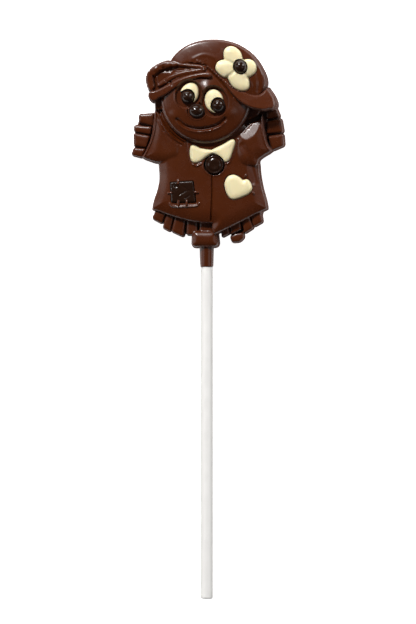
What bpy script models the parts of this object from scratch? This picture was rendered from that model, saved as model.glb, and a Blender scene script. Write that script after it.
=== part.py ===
"""
A lollipop of moulded milk chocolate in the shape of a straw-stuffed scarecrow.

The chocolate was poured into an open mould, so the figure is a relief with a flat back: it lies on
that back, its face up, and the paper stick runs away from it along the table. White and dark chocolate
were set into it first: the flower and its centre, the eyes, the nose, the bow, the button, the heart
and the patch.

Sizes are in millimetres on one drawing: x runs across the figure, y runs up it from the end of the
chocolate sleeve on the stick, and z is up from the flat back.
"""

import math

import bmesh
import bpy
import numpy as np
from mathutils import Matrix, Vector
from mathutils.geometry import delaunay_2d_cdt

MM = 0.001

# The whole lollipop
STICK_RADIUS = 2.2
STICK_END = -119.7
STICK_DEPTH = 30.0
STICK_MIDDLE = -40.0
STICK_AXIS = (-0.35, 2.65)
STICK_CHAMFER = 0.4
BORE_CLEARANCE = 0.06
BORE_START = -1.0
BORE_OVERRUN = 0.2
SLEEVE_RADIUS = 2.42
SLEEVE_ROOT_RADIUS = 2.65
SLEEVE_ROOT = 9.5
ROUND_SIDES = 48

# The mould: its walls rise 12 for 1 across, and the outlines were drawn for walls of 7.5 for 1
WALL_RISE = 12.0
DRAWN_RISE = 7.5
BACKING = 3.2
POCKET_RISE = 10.0
STITCH = 1.5
STITCH_WIDTH = 0.9
STITCH_HEIGHT = 0.35
STITCH_SIDES = 12
COAT_BARREL = 0.003
INLAY_GAP = 0.32
FLOOR_GAP = 0.3

# How finely the relief is meshed
SPACING = 1.0
FILL_SPACING = 1.6
FLAT_WITHIN = 0.05
MERGE_WITHIN = 0.1
OUTLINE_STEP = 0.25
FAR_BELOW = -20.0
SHARP_ANGLE = 38

# The middle of the whole box, which the frame stands on
BOX_CENTRE = (0.2, -18.86)


def curve(points, steps=8, closed=True):
    """A smooth line through the points. A point with a third number is a sharp corner."""
    spots = [np.array(p[:2], float) for p in points]
    sharp = [len(p) > 2 for p in points]
    count = len(spots)
    made = []
    for i in range(count if closed else count - 1):
        j = (i + 1) % count
        here, there = spots[i], spots[j]
        before = spots[i - 1] if closed or i > 0 else here
        after = spots[(i + 2) % count] if closed or i + 2 < count else there
        length = np.linalg.norm(there - here)
        leave = there - here if sharp[i] else heading(before, there) * length
        arrive = there - here if sharp[j] else heading(here, after) * length
        for t in np.arange(steps) / steps:
            made.append(
                (2 * t**3 - 3 * t**2 + 1) * here
                + (t**3 - 2 * t**2 + t) * leave
                + (3 * t**2 - 2 * t**3) * there
                + (t**3 - t**2) * arrive
            )
    if not closed:
        made.append(spots[-1])
    return np.array(made)


def heading(start, end):
    length = np.linalg.norm(end - start)
    return (end - start) / length if length else end - start


def ellipse(x, y, half_x, half_y, turn=0.0, steps=40):
    """An ellipse. Turn is in degrees, against the clock."""
    angle = np.linspace(0, 2 * math.pi, steps, endpoint=False)
    along = half_x * np.cos(angle)
    across = half_y * np.sin(angle)
    c, s = math.cos(math.radians(turn)), math.sin(math.radians(turn))
    return np.stack([x + along * c - across * s, y + along * s + across * c], 1)


def tile(corners, rounding=0.55):
    """A polygon with each corner rounded off."""
    made = []
    for i, corner in enumerate(corners):
        spot = np.array(corner, float)
        back = heading(spot, np.array(corners[i - 1], float))
        on = heading(spot, np.array(corners[(i + 1) % len(corners)], float))
        for t in (0.0, 0.33, 0.67, 1.0):
            made.append(spot + rounding * (back * (1 - t) ** 2 + on * t**2))
    return np.array(made)


def signed_distance(loop, spots):
    """How far each spot is from the closed loop, negative inside it."""
    nearest = np.full(len(spots), np.inf)
    inside = np.zeros(len(spots), bool)
    for start, end in zip(loop, np.roll(loop, -1, axis=0)):
        side = end - start
        rel = spots - start
        t = np.clip(rel @ side / max(side @ side, 1e-12), 0, 1)
        nearest = np.minimum(nearest, np.sum((rel - t[:, None] * side) ** 2, 1))
        if start[1] != end[1]:
            crosses = (start[1] > spots[:, 1]) != (end[1] > spots[:, 1])
            reach = start[0] + (spots[:, 1] - start[1]) * side[0] / side[1]
            inside ^= crosses & (spots[:, 0] < reach)
    return np.where(inside, -1, 1) * np.sqrt(nearest)


def line_distance(line, spots):
    nearest = np.full(len(spots), np.inf)
    for start, end in zip(line[:-1], line[1:]):
        side = end - start
        rel = spots - start
        t = np.clip(rel @ side / max(side @ side, 1e-12), 0, 1)
        nearest = np.minimum(nearest, np.sum((rel - t[:, None] * side) ** 2, 1))
    return np.sqrt(nearest)


def normals(loop):
    """The outward direction at each point of a closed loop, longer at a corner."""
    ahead = np.roll(loop, -1, axis=0) - loop
    ahead /= np.linalg.norm(ahead, axis=1)[:, None]
    out = np.stack([ahead[:, 1], -ahead[:, 0]], 1)
    if area(loop) < 0:
        out = -out
    both = out + np.roll(out, 1, axis=0)
    return both / np.maximum(np.sum(both**2, 1) / 2, 0.6)[:, None]


def area(loop):
    x, y = loop[:, 0], loop[:, 1]
    return 0.5 * float(np.sum(x * np.roll(y, -1) - np.roll(x, -1) * y))


def inset(loop, width):
    return loop - normals(loop) * width


def respace(loop, longest, flat=FLAT_WITHIN):
    """The same loop with points only where it bends, and none farther apart than longest."""
    keep = kept_bends(loop, flat)
    made = []
    for i, first in enumerate(keep):
        last = keep[(i + 1) % len(keep)]
        if last <= first:
            last += len(loop)
        path = loop[np.arange(first, last + 1) % len(loop)]
        steps = np.linalg.norm(np.diff(path, axis=0), axis=1)
        run = np.append(0, np.cumsum(steps))
        parts = max(1, math.ceil(run[-1] / longest))
        for k in range(parts):
            at = run[-1] * k / parts
            made.append([np.interp(at, run, path[:, 0]), np.interp(at, run, path[:, 1])])
    return np.array(made)


def kept_bends(loop, flat):
    """Where a closed loop may not be cut short without moving it by more than flat."""
    far = int(np.argmax(np.sum((loop - loop[0]) ** 2, 1)))
    kept = {0, far}
    todo = [(0, far), (far, len(loop))]
    while todo:
        first, last = todo.pop()
        if last - first < 2:
            continue
        ends = loop[first], loop[last % len(loop)]
        middle = loop[first + 1 : last]
        off = line_distance(np.array(ends), middle)
        worst = int(np.argmax(off))
        if off[worst] > flat:
            split = first + 1 + worst
            kept.add(split)
            todo += [(first, split), (split, last)]
    return sorted(kept)


class Form:
    """One raised shape of the relief: an outline, the height of its top, and how its edge turns down."""

    def __init__(
        self, loop, top, slope=(0, 0), drop=0.0, width=1.0, rounding=0.5, barrel=0.0, cut=None
    ):
        self.loop = loop
        self.cut = cut
        self.top = top
        self.slope = slope
        self.drop = drop
        self.width = width
        self.rounding = rounding
        self.barrel = barrel
        self.middle = (loop.min(0) + loop.max(0)) / 2
        self.rise = WALL_RISE

    def height(self, spots):
        near = np.all(np.abs(spots - self.middle) < np.ptp(self.loop, 0) / 2 + 4, axis=1)
        made = np.full(len(spots), FAR_BELOW)
        if near.any():
            made[near] = self.level(spots[near], signed_distance(self.loop, spots[near]))
            if self.cut:
                made[near] = np.minimum(made[near], self.cut.height(spots[near]))
        return made

    def level(self, spots, off):
        """The height of spots that are this far off the outline."""
        rel = spots - self.middle
        made = self.top + rel @ np.array(self.slope) - self.barrel * spots[:, 0] ** 2
        made -= self.drop * (1 - np.clip(-off / self.width, 0, 1)) ** 2
        turn = np.clip(1 + off / self.rounding, 0, 1)
        made -= self.rounding * (1 - np.sqrt(1 - 0.96 * turn**2))
        return made - self.rise * np.maximum(off, 0)


class Pocket:
    """A recess for one inlay: it follows the inlay's outline at a gap, down to a flat floor."""

    def __init__(self, loop, floor, gap=INLAY_GAP, rise=POCKET_RISE):
        self.loop = loop
        self.floor = floor
        self.gap = gap
        self.rise = rise

    def height(self, spots):
        off = signed_distance(self.loop, spots)
        return self.floor + self.rise * np.maximum(off - self.gap, 0)


class Line:
    """A groove, where the depth is above zero, or a ridge, where it is below."""

    def __init__(self, path, depth, half_width):
        self.path = path
        self.depth = depth
        self.half_width = half_width

    def height(self, spots):
        t = np.clip(line_distance(self.path, spots) / self.half_width, 0, 1)
        return -self.depth * (1 - t**2) ** 2


class Relief:
    """Forms, the lines drawn on them and the pockets cut in them, as one height for each spot."""

    def __init__(self, forms, lines=(), pockets=(), base=0.0):
        self.forms = forms
        self.lines = lines
        self.pockets = pockets
        self.base = base

    def raised(self, spots, without=None):
        made = np.full(len(spots), FAR_BELOW)
        for form in self.forms:
            if form is not without:
                made = np.maximum(made, form.height(spots))
        return made

    def height(self, spots):
        made = self.raised(spots)
        for line in self.lines:
            made += line.height(spots)
        for pocket in self.pockets:
            made = np.minimum(made, pocket.height(spots))
        return made


def reach_out(forms, look=1.0, clear=0.35, smooth=3):
    """Moves each outline's bare stretches out, so that the steep wall ends where the drawn one did."""
    moved = []
    for form in forms:
        out = normals(form.loop)
        spots = form.loop + out * look
        bare = np.ones(len(spots), bool)
        for other in forms:
            if other is not form:
                bare &= signed_distance(other.loop, spots) > clear
        shares = np.mean([np.roll(bare, k) for k in range(-smooth, smooth + 1)], axis=0)
        edge = form.level(form.loop, np.zeros(len(form.loop)))
        step = np.maximum(edge, 0) * (1 / DRAWN_RISE - 1 / WALL_RISE)
        moved.append(form.loop + out * (shares * step)[:, None])
    for form, loop in zip(forms, moved):
        form.loop = loop


def crossing(loop, above, longest=2.6, steps=40):
    """From each point of a loop outwards, the first spot where above() turns negative, if any."""
    out = normals(loop)
    ways = np.linspace(0, longest, steps)
    spots = loop[:, None, :] + out[:, None, :] * ways[None, :, None]
    values = above(spots.reshape(-1, 2)).reshape(len(loop), steps)
    made = []
    for i, row in enumerate(values):
        under = np.nonzero(row <= 0)[0]
        if row[0] <= 0 or not len(under):
            continue
        k = under[0]
        t = row[k - 1] / (row[k - 1] - row[k])
        made.append(spots[i, k - 1] * (1 - t) + spots[i, k] * t)
    return np.array(made).reshape(-1, 2)


def contour(value, low, high, step):
    """The longest closed line between low and high along which value() is zero."""
    count = np.ceil((high - low) / step).astype(int) + 1
    xs = low[0] + step * np.arange(count[0])
    ys = low[1] + step * np.arange(count[1])
    grid = np.stack(np.meshgrid(xs, ys, indexing="ij"), -1).reshape(-1, 2)
    level = value(grid).reshape(count)
    sides = cut_sides(level > 0)
    made = []
    for a, b in max(chains(sides), key=len):
        t = level[a] / (level[a] - level[b])
        made.append(low + step * (np.array(a) * (1 - t) + np.array(b) * t))
    return np.array(made)


def cut_sides(high):
    """Pairs of grid sides that the line crosses one after the other."""
    joined = {}
    mixed = high[:-1, :-1].astype(int) + high[1:, :-1] + high[:-1, 1:] + high[1:, 1:]
    for i, j in np.argwhere((mixed > 0) & (mixed < 4)):
        corners = [(i, j), (i + 1, j), (i + 1, j + 1), (i, j + 1)]
        pairs = zip(corners, corners[1:] + corners[:1])
        cut = [(min(a, b), max(a, b)) for a, b in pairs if high[a] != high[b]]
        for a, b in zip(cut[::2], cut[1::2]):
            joined.setdefault(a, []).append(b)
            joined.setdefault(b, []).append(a)
    return joined


def chains(joined):
    loops = []
    while joined:
        path = [next(iter(joined))]
        while joined[path[-1]]:
            there = joined[path[-1]].pop()
            joined[there].remove(path[-1])
            path.append(there)
        for side in set(path):
            if not joined[side]:
                del joined[side]
        loops.append(path[:-1])
    return loops


def outline(relief, step):
    """The line around a relief where it comes down to its base."""
    points = np.concatenate([form.loop for form in relief.forms])
    low, high = points.min(0) - 3, points.max(0) + 3
    return contour(lambda spots: relief.height(spots) - relief.base, low, high, step)


class Sheet:
    """The points and lines that the mesh of a relief has to keep, with near ones made one."""

    def __init__(self, apart):
        self.apart = apart
        self.spots = []
        self.cells = {}
        self.edges = set()

    def near(self, spot, reach):
        """A point of the sheet within reach of the spot, or None."""
        span = int(reach // self.apart) + 1
        x, y = int(spot[0] // self.apart), int(spot[1] // self.apart)
        for i in range(x - span, x + span + 1):
            for j in range(y - span, y + span + 1):
                for k in self.cells.get((i, j), ()):
                    if np.hypot(*(self.spots[k] - spot)) < reach:
                        return k
        return None

    def add(self, spot, always=False):
        found = None if always else self.near(spot, self.apart)
        if found is not None:
            return found
        cell = int(spot[0] // self.apart), int(spot[1] // self.apart)
        self.cells.setdefault(cell, []).append(len(self.spots))
        self.spots.append(spot)
        return len(self.spots) - 1

    def add_path(self, spots, longest, closed=False):
        """Adds the spots, and keeps a line between two that follow each other closely."""
        ids = [self.add(spot, always=closed) for spot in spots]
        pairs = list(zip(ids, ids[1:])) + ([(ids[-1], ids[0])] if closed and ids else [])
        for a, b in pairs:
            if a != b and np.hypot(*(self.spots[a] - self.spots[b])) < longest:
                self.edges.add((min(a, b), max(a, b)))


def kept_near(loop, spots, width):
    """The spots of a ring that are still at the width it was moved by."""
    return spots[np.abs(np.abs(signed_distance(loop, spots)) - width) < 0.1 * width + 0.03]


def plan(relief, spacing, fill, apart, step):
    """All points of a relief's mesh: its outline, the edge and foot of each form and pocket, and a fill."""
    sheet = Sheet(apart)
    border = respace(outline(relief, step), spacing, FLAT_WITHIN / 2)
    sheet.add_path(border, 3 * spacing, closed=True)
    rim = list(range(len(sheet.spots)))
    for pocket in relief.pockets:
        ring = respace(pocket.loop, 0.7 * spacing, FLAT_WITHIN / 3)
        wall = ring + normals(ring) * pocket.gap
        if pocket.floor < relief.base:
            wall = ring + normals(ring) * (pocket.gap + (relief.base - pocket.floor) / pocket.rise)
        add_inside(sheet, relief, kept_near(pocket.loop, wall, pocket.gap), spacing)
        top = crossing(wall, lambda s: before_pockets(relief, s) - pocket.height(s))
        add_inside(sheet, relief, top, spacing)
    for form in relief.forms:
        ring = respace(form.loop, spacing)
        edge = kept_on_top(relief, form, ring)
        add_inside(sheet, relief, edge, spacing)
        foot = crossing(
            ring,
            lambda s: form.height(s) - np.maximum(relief.raised(s, form), relief.base),
        )
        add_inside(sheet, relief, foot, spacing)
        soft = kept_near(form.loop, ring - normals(ring) * form.rounding, form.rounding)
        add_inside(sheet, relief, kept_on_top(relief, form, soft), spacing)
    for line in relief.lines:
        ring = respace_open(line.path, spacing)
        add_inside(sheet, relief, ring, spacing)
        for side in (-line.half_width, line.half_width):
            add_inside(sheet, relief, ring + side * open_normals(ring), spacing)
    low, high = border.min(0), border.max(0)
    for j in range(int((high[1] - low[1]) / (fill * 0.866)) + 1):
        for i in range(int((high[0] - low[0]) / fill) + 1):
            spot = low + [fill * (i + 0.5 * (j % 2)), fill * 0.866 * j]
            if sheet.near(spot, 0.62 * fill) is None and inside(relief, spot[None])[0]:
                sheet.add(spot)
    return sheet, rim


def before_pockets(relief, spots):
    made = relief.raised(spots)
    for line in relief.lines:
        made += line.height(spots)
    return made


def inside(relief, spots):
    return relief.height(spots) > relief.base + 0.4


def kept_on_top(relief, form, spots):
    if not len(spots):
        return spots
    return spots[form.height(spots) >= relief.raised(spots, form)]


def add_inside(sheet, relief, spots, spacing):
    if len(spots):
        sheet.add_path(spots[inside(relief, spots)], 1.6 * spacing)


def respace_open(path, longest):
    steps = np.linalg.norm(np.diff(path, axis=0), axis=1)
    run = np.append(0, np.cumsum(steps))
    at = np.linspace(0, run[-1], max(2, math.ceil(run[-1] / longest) + 1))
    return np.stack([np.interp(at, run, path[:, 0]), np.interp(at, run, path[:, 1])], 1)


def open_normals(path):
    ahead = np.gradient(path, axis=0)
    ahead /= np.linalg.norm(ahead, axis=1)[:, None]
    return np.stack([ahead[:, 1], -ahead[:, 0]], 1)


def relief_object(name, relief, spacing=SPACING, fill=FILL_SPACING, apart=MERGE_WITHIN, step=OUTLINE_STEP):
    """A solid with a relief on top and one flat face under it."""
    sheet, rim = plan(relief, spacing, fill, apart, step)
    spots = np.array(sheet.spots)
    flat = [Vector(spot) for spot in spots]
    points, _, faces, _, _, _ = delaunay_2d_cdt(flat, sorted(sheet.edges), [rim], 1, 1e-5)
    places = np.array([tuple(point) for point in points])
    rise = np.maximum(relief.height(places), relief.base + 0.02)
    mesh = bmesh.new()
    verts = [mesh.verts.new((x * MM, y * MM, z * MM)) for (x, y), z in zip(places, rise)]
    for face in faces:
        mesh.faces.new([verts[k] for k in face])
    loose = [vert for vert in mesh.verts if not vert.link_faces]
    bmesh.ops.delete(mesh, geom=loose, context="VERTS")
    border = [edge for edge in mesh.edges if edge.is_boundary]
    for vert in {vert for edge in border for vert in edge.verts}:
        vert.co.z = relief.base * MM
    bmesh.ops.contextual_create(mesh, geom=border)
    bmesh.ops.recalc_face_normals(mesh, faces=mesh.faces)
    return add_object(name, mesh)


def add_object(name, mesh):
    data = bpy.data.meshes.new(name)
    mesh.to_mesh(data)
    mesh.free()
    made = bpy.data.objects.new(name, data)
    bpy.context.scene.collection.objects.link(made)
    return made


def round_bar(name, rings, axis, sides=ROUND_SIDES):
    """A bar along y from rings of (y, radius), closed by a flat face at each end."""
    mesh = bmesh.new()
    x, z = axis
    angle = np.linspace(0, 2 * math.pi, sides, endpoint=False)
    rows = [
        [
            mesh.verts.new(((x + r * math.cos(a)) * MM, y * MM, (z + r * math.sin(a)) * MM))
            for a in angle
        ]
        for y, r in rings
    ]
    for here, there in zip(rows, rows[1:]):
        for i in range(sides):
            j = (i + 1) % sides
            mesh.faces.new((here[i], here[j], there[j], there[i]))
    mesh.faces.new(rows[0])
    mesh.faces.new(rows[-1])
    bmesh.ops.recalc_face_normals(mesh, faces=mesh.faces)
    return add_object(name, mesh)


def combine(target, others, operation):
    """Joins or cuts the target with a collection of other objects, which are then removed."""
    group = bpy.data.collections.new(operation.lower())
    bpy.context.scene.collection.children.link(group)
    for other in others:
        group.objects.link(other)
    modifier = target.modifiers.new(operation.title(), "BOOLEAN")
    modifier.operation = operation
    modifier.solver = "EXACT"
    modifier.operand_type = "COLLECTION"
    modifier.collection = group
    graph = bpy.context.evaluated_depsgraph_get()
    made = bpy.data.meshes.new_from_object(target.evaluated_get(graph))
    target.modifiers.remove(modifier)
    target.data = made
    for other in others:
        bpy.data.objects.remove(other, do_unlink=True)
    bpy.data.collections.remove(group)


# Where each face feature stands
FACE = (-0.26, 60.48, 16.2)
EYE_LEFT = (-6.05, 62.21, 3.96, 3.17, 62)
EYE_RIGHT = (2.84, 59.51, 4.18, 3.28, 100)
MOAT_LEFT = (-6.5, 61.9, 4.8, 4.15, 62)
MOAT_RIGHT = (3.1, 59.2, 5.1, 4.3, 100)
PUPIL_LEFT = (-6.67, 61.13, 2.38, 2.38)
PUPIL_RIGHT = (4.34, 57.96, 2.38, 2.52)
BARE_LEFT = (-7.7, 60.0, 3.0, 3.0)
NOSE = (-3.4, 56.0, 2.8, 2.4, -10)
EYE_FLOOR = 11.9
NOSE_FLOOR = 12.6

# The inlays on the hat and the coat
FLOWER_NOTCHES = ((13.3, 74.3), (15.2, 67.8), (7.6, 68.0), (6.5, 74.4))
FLOWER_CENTRE = (12.33, 71.82, 2.38, 2.63, 25)
FLOWER_FLOOR = 10.9
FLOWER_SEAT = 12.2
HOLLOW_FLOOR = 10.0
BUTTON = (2.73, 36.72, 3.31, 3.38)
BUTTON_FLOOR = 7.2
BOW_FLOOR = 7.6
HEART_FLOOR = 7.1
PATCH_FLOOR = 7.4


def crown():
    foot = curve([
        (-14.6, 71.6), (-11.4, 76.8), (-6.0, 80.5), (2.0, 81.9), (9.9, 80.5), (16.4, 76.4),
        (20.4, 70.7), (21.6, 65.8), (19.2, 60.0), (9.5, 57.2), (-3.1, 60.0), (-12.1, 65.8),
    ])
    folded = Pocket(hollow_loop(), HOLLOW_FLOOR, 0.0, WALL_RISE)
    return Form(inset(foot, 1.25), 13.6, drop=3.0, width=14, rounding=0.8, cut=folded)


def brim():
    """The part of the brim that flares out over the right side of the face."""
    loop = curve([
        (-3.7, 74.2), (-0.1, 75.5), (3.2, 74.8), (6.4, 72.3), (9.6, 67.6), (12.5, 63.5),
        (15.8, 61.7), (19.0, 61.6), (21.7, 63.1, 0), (23.0, 61.1), (23.9, 59.0), (23.8, 57.2, 0),
        (20.8, 56.5), (16.8, 57.1), (13.2, 58.7), (10.0, 61.5), (6.8, 65.4), (3.5, 69.0),
        (-0.1, 72.3),
    ])
    return Form(loop, 13.7, slope=(-0.13, -0.2), rounding=0.6)


def hollow_loop():
    return curve([
        (-0.2, 72.3), (-9.6, 72.8), (-16.8, 71.7), (-20.4, 68.7), (-19.3, 63.6), (-16.1, 63.3),
        (-10.3, 66.9), (-0.2, 69.2),
    ])


def flap():
    """The part of the brim that is folded up on the left: a hollow, its rolled rim and two pleats."""
    rim = curve([
        (-0.1, 72.0), (-5.9, 73.0), (-13.8, 73.2), (-17.4, 72.0), (-20.2, 69.9), (-21.0, 68.0),
        (-20.6, 65.4), (-19.6, 63.5), (-18.5, 64.0), (-18.9, 66.5), (-18.9, 68.3), (-17.4, 69.8),
        (-14.5, 71.2), (-10.2, 71.8), (-5.2, 71.4), (-0.1, 70.8),
    ])
    upper = curve([
        (-0.4, 71.1), (-5.8, 70.8), (-12.0, 69.2), (-15.2, 67.4), (-17.5, 65.0), (-14.8, 65.8),
        (-10.9, 67.9), (-5.1, 69.3), (-0.4, 69.8),
    ])
    lower = curve([
        (1.4, 69.6), (-4.0, 69.2), (-9.4, 67.6), (-13.7, 65.4), (-17.3, 63.6), (-19.8, 62.4),
        (-19.8, 61.1), (-18.4, 60.1, 0), (-14.8, 61.8), (-10.8, 64.5), (-6.5, 66.7), (-2.2, 67.9),
        (1.8, 68.1),
    ])
    lean = (0.1, 0.0)
    return [
        Form(hollow_loop(), 11.4, slope=lean, rounding=0.6),
        Form(rim, 12.7, slope=lean, rounding=0.5),
        Form(upper, 12.9, slope=lean, rounding=0.5),
        Form(lower, 13.9, slope=lean, rounding=0.5),
    ]


def head():
    x, y, radius = FACE
    return Form(ellipse(x, y, radius, radius, steps=72), 14.2, drop=3.2, width=radius, rounding=1.1)


def hair():
    """A lump of hair on each side of the face, under the hat."""
    left = tile([(-18.5, 60.4), (-15.0, 60.8), (-15.0, 56.6), (-18.2, 56.8)])
    right = tile([(12.5, 57.6), (19.9, 57.2), (18.4, 54.6), (15.6, 53.0), (12.5, 52.0)])
    return [Form(left, 7.2, rounding=0.5), Form(right, 7.2, rounding=0.5)]


def coat():
    """Coat and neck in one: the hem is cut off at a slant on each side of the front edge."""
    loop = curve([
        (-17.2, 50.0), (-8.0, 56.0), (6.0, 56.0), (15.0, 50.0), (18.0, 38.4), (18.5, 33.4),
        (19.4, 28.4), (20.8, 23.3), (21.2, 21.0, 0), (15.5, 17.9), (8.3, 14.3), (2.6, 11.8, 0),
        (1.9, 13.6), (2.0, 15.6, 0), (-2.6, 15.9), (-8.3, 17.0), (-14.8, 19.0), (-19.5, 20.9, 0),
        (-18.9, 23.7), (-17.6, 27.6), (-16.8, 31.6), (-16.9, 35.0), (-18.0, 42.0),
    ])
    return Form(loop, 9.0, drop=1.0, width=3.5, rounding=0.6, barrel=COAT_BARREL)


def sleeves():
    left = curve([
        (-18.4, 56.6, 0), (-14.8, 55.7), (-9.7, 47.1), (-9.0, 39.9), (-14.0, 37.4), (-18.0, 37.9),
        (-21.1, 38.9), (-23.3, 39.7, 0), (-22.0, 42.0), (-20.5, 45.6), (-19.7, 49.2), (-19.2, 53.2),
    ])
    right = curve([
        (11.2, 46.7), (13.1, 49.1), (15.3, 51.2), (17.6, 52.1), (19.4, 53.5), (19.9, 55.2, 0),
        (20.3, 51.8), (21.0, 47.8), (21.8, 44.6), (23.1, 42.0, 0), (20.5, 40.6), (18.2, 38.8),
        (17.3, 36.3), (11.9, 37.7),
    ])
    return [
        Form(left, 9.0, slope=(0.06, 0.0), drop=1.4, width=4.0, rounding=0.6),
        Form(right, 9.4, slope=(-0.06, 0.0), drop=1.6, width=4.0, rounding=0.6),
    ]


def straw(corners, top, lean=0.0):
    return Form(tile(corners), top, slope=(lean, 0.0), drop=0.5, width=1.3, rounding=0.5)


def hands():
    """The straw that sticks out of each sleeve: four bundles on the left, three on the right."""
    left = (
        ((-24.4, 54.6), (-19.2, 54.9), (-19.5, 50.6), (-24.5, 52.1)),
        ((-26.2, 50.7), (-19.9, 50.3), (-20.5, 47.6), (-26.1, 48.8)),
        ((-26.3, 48.0), (-20.6, 47.0), (-21.9, 42.9), (-26.2, 43.6)),
        ((-26.3, 42.8), (-22.1, 42.4), (-23.6, 39.7), (-27.0, 40.6)),
    )
    right = (
        ((21.3, 56.8), (24.7, 56.7), (25.9, 53.9), (21.3, 53.2)),
        ((21.4, 52.0), (26.3, 53.1), (27.1, 48.5), (21.7, 48.0)),
        ((22.1, 46.9), (27.1, 47.6), (27.3, 43.8), (23.6, 42.2)),
    )
    return [straw(corners, 6.8, 0.1) for corners in left] + [
        straw(corners, 6.8, -0.1) for corners in right
    ]


def skirt():
    """The straw that hangs out under the hem, the plug that the stick enters and a loose end of straw."""
    bundles = (
        ((-18.4, 20.6), (-14.8, 19.4), (-16.5, 15.8), (-19.7, 17.6)),
        ((-14.5, 19.2), (-12.0, 18.5), (-13.5, 12.9), (-15.9, 14.3)),
        ((-11.6, 18.3), (-7.8, 17.4), (-8.8, 11.1), (-12.8, 12.9)),
        ((-7.3, 17.4), (-3.5, 16.7), (-3.6, 11.6), (-7.3, 11.6)),
        ((-2.8, 16.7), (2.0, 16.1), (2.3, 11.4), (-2.9, 11.6)),
        ((5.0, 14.6), (7.5, 15.8), (8.0, 12.2), (5.4, 10.9)),
        ((8.0, 15.8), (11.7, 17.6), (12.3, 13.5), (8.5, 11.7)),
        ((11.9, 17.8), (14.9, 19.0), (16.4, 14.1), (13.5, 12.2)),
        ((15.2, 19.2), (19.0, 20.8), (19.7, 16.3), (16.8, 14.6)),
    )
    made = [straw(corners, 5.8) for corners in bundles]
    plug = tile([(-5.2, 13.0), (2.7, 13.0), (3.0, 7.3), (-5.5, 7.3)], 1.6)
    loose = tile([(8.3, 11.0), (10.1, 12.2), (12.8, 12.4), (13.1, 10.6), (11.6, 9.1), (9.1, 8.9)], 0.7)
    made.append(Form(plug, 6.9, drop=0.7, width=2.0, rounding=0.8))
    made.append(Form(loose, 4.8, drop=0.4, width=1.2, rounding=0.5))
    return made


def backing():
    """The chocolate behind the straw: it closes the gaps between the bundles at the back."""
    return Form(tile([
        (-24.0, 54.2), (-25.4, 50.8), (-25.7, 44.0), (-26.0, 41.2), (-23.2, 40.6), (-20.0, 39.6),
        (-16.5, 38.4), (-16.2, 34.0), (-16.4, 31.0), (-18.5, 22.0), (-18.9, 17.9), (-16.3, 16.4),
        (-15.3, 15.0), (-13.8, 13.6), (-12.4, 13.6), (-9.2, 11.9), (-7.2, 12.3), (-3.2, 12.2),
        (2.1, 12.3), (4.6, 14.4), (5.9, 11.9), (8.3, 12.7), (12.0, 14.0), (13.7, 13.1), (16.1, 14.8),
        (16.9, 15.5), (19.1, 16.8), (20.3, 21.4), (19.6, 23.0), (17.8, 32.0), (17.2, 38.6),
        (20.0, 41.2), (22.6, 42.8), (24.2, 42.8), (26.7, 44.4), (26.4, 48.2), (25.3, 53.4),
        (24.0, 56.0), (21.5, 57.5), (20.5, 62.0), (10.0, 75.0), (-5.0, 75.0), (-16.0, 68.0),
        (-18.0, 61.0), (-17.6, 57.0), (-18.3, 55.6), (-21.0, 54.4),
    ], 0.3), BACKING, rounding=0.3)


def stitches(relief):
    """The ends of the sewing thread that show on the coat around the patch and the heart."""
    places = (
        ((-10.4, 31.6), 90), ((-14.0, 26.6), 0), ((-3.3, 26.7), 0), ((-10.2, 22.1), 88),
        ((-7.3, 22.1), 86), ((14.0, 33.1), 60), ((17.5, 29.0), 20), ((17.1, 26.0), 0),
    )
    upright = Matrix.Rotation(math.radians(90), 4, "Y")
    made = []
    for (x, y), turn in places:
        z = relief.height(np.array([[x, y]]))[0] + STITCH_HEIGHT - STITCH_WIDTH / 2
        place = Matrix.Translation((x * MM, y * MM, z * MM))
        aim = Matrix.Rotation(math.radians(turn), 4, "Z")
        mesh = bmesh.new()
        bmesh.ops.create_cone(
            mesh,
            cap_ends=True,
            segments=STITCH_SIDES,
            radius1=STITCH_WIDTH / 2 * MM,
            radius2=STITCH_WIDTH / 2 * MM,
            depth=STITCH * MM,
            matrix=place @ aim @ upright,
        )
        made.append(add_object("stitch", mesh))
    return made


def flower_loop():
    """Four petals that run into one another, with a notch between each two."""
    right, below, left, above = [(x, y, 0) for x, y in FLOWER_NOTCHES]
    return curve([
        right, (15.1, 74.6), (16.8, 74.0), (17.9, 72.5), (18.1, 70.8), (17.1, 69.0),
        below, (15.7, 66.2), (15.6, 64.4), (14.4, 63.2), (12.2, 63.1), (9.6, 64.5),
        left, (6.4, 67.9), (4.4, 69.4), (3.4, 71.2), (3.9, 73.2), (5.1, 74.1),
        above, (6.3, 77.2), (7.2, 78.6), (8.9, 79.2), (10.9, 78.5), (12.4, 76.9),
    ])


def bow_loop():
    return curve([
        (-5.3, 43.7), (-2.1, 42.6), (1.7, 42.0, 0), (5.5, 43.9), (9.1, 45.9), (10.2, 44.9),
        (9.4, 41.7), (8.2, 38.6), (6.7, 37.6), (4.8, 39.1), (2.4, 40.6), (-0.1, 39.5),
        (-2.6, 37.7), (-4.8, 37.4), (-5.8, 38.8), (-6.1, 42.0),
    ])


def heart_loop():
    return curve([
        (13.0, 31.2, 0), (11.4, 32.5), (9.4, 33.2), (7.4, 32.4), (6.3, 30.0), (6.9, 26.9),
        (8.3, 24.6), (9.8, 24.1), (13.0, 25.1), (15.6, 26.7), (16.3, 28.6), (15.2, 31.0),
        (14.1, 31.5),
    ])


def patch_loop():
    return tile([(-13.2, 30.4), (-4.9, 30.9), (-3.9, 23.1), (-12.8, 23.1)], 0.4)


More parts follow.
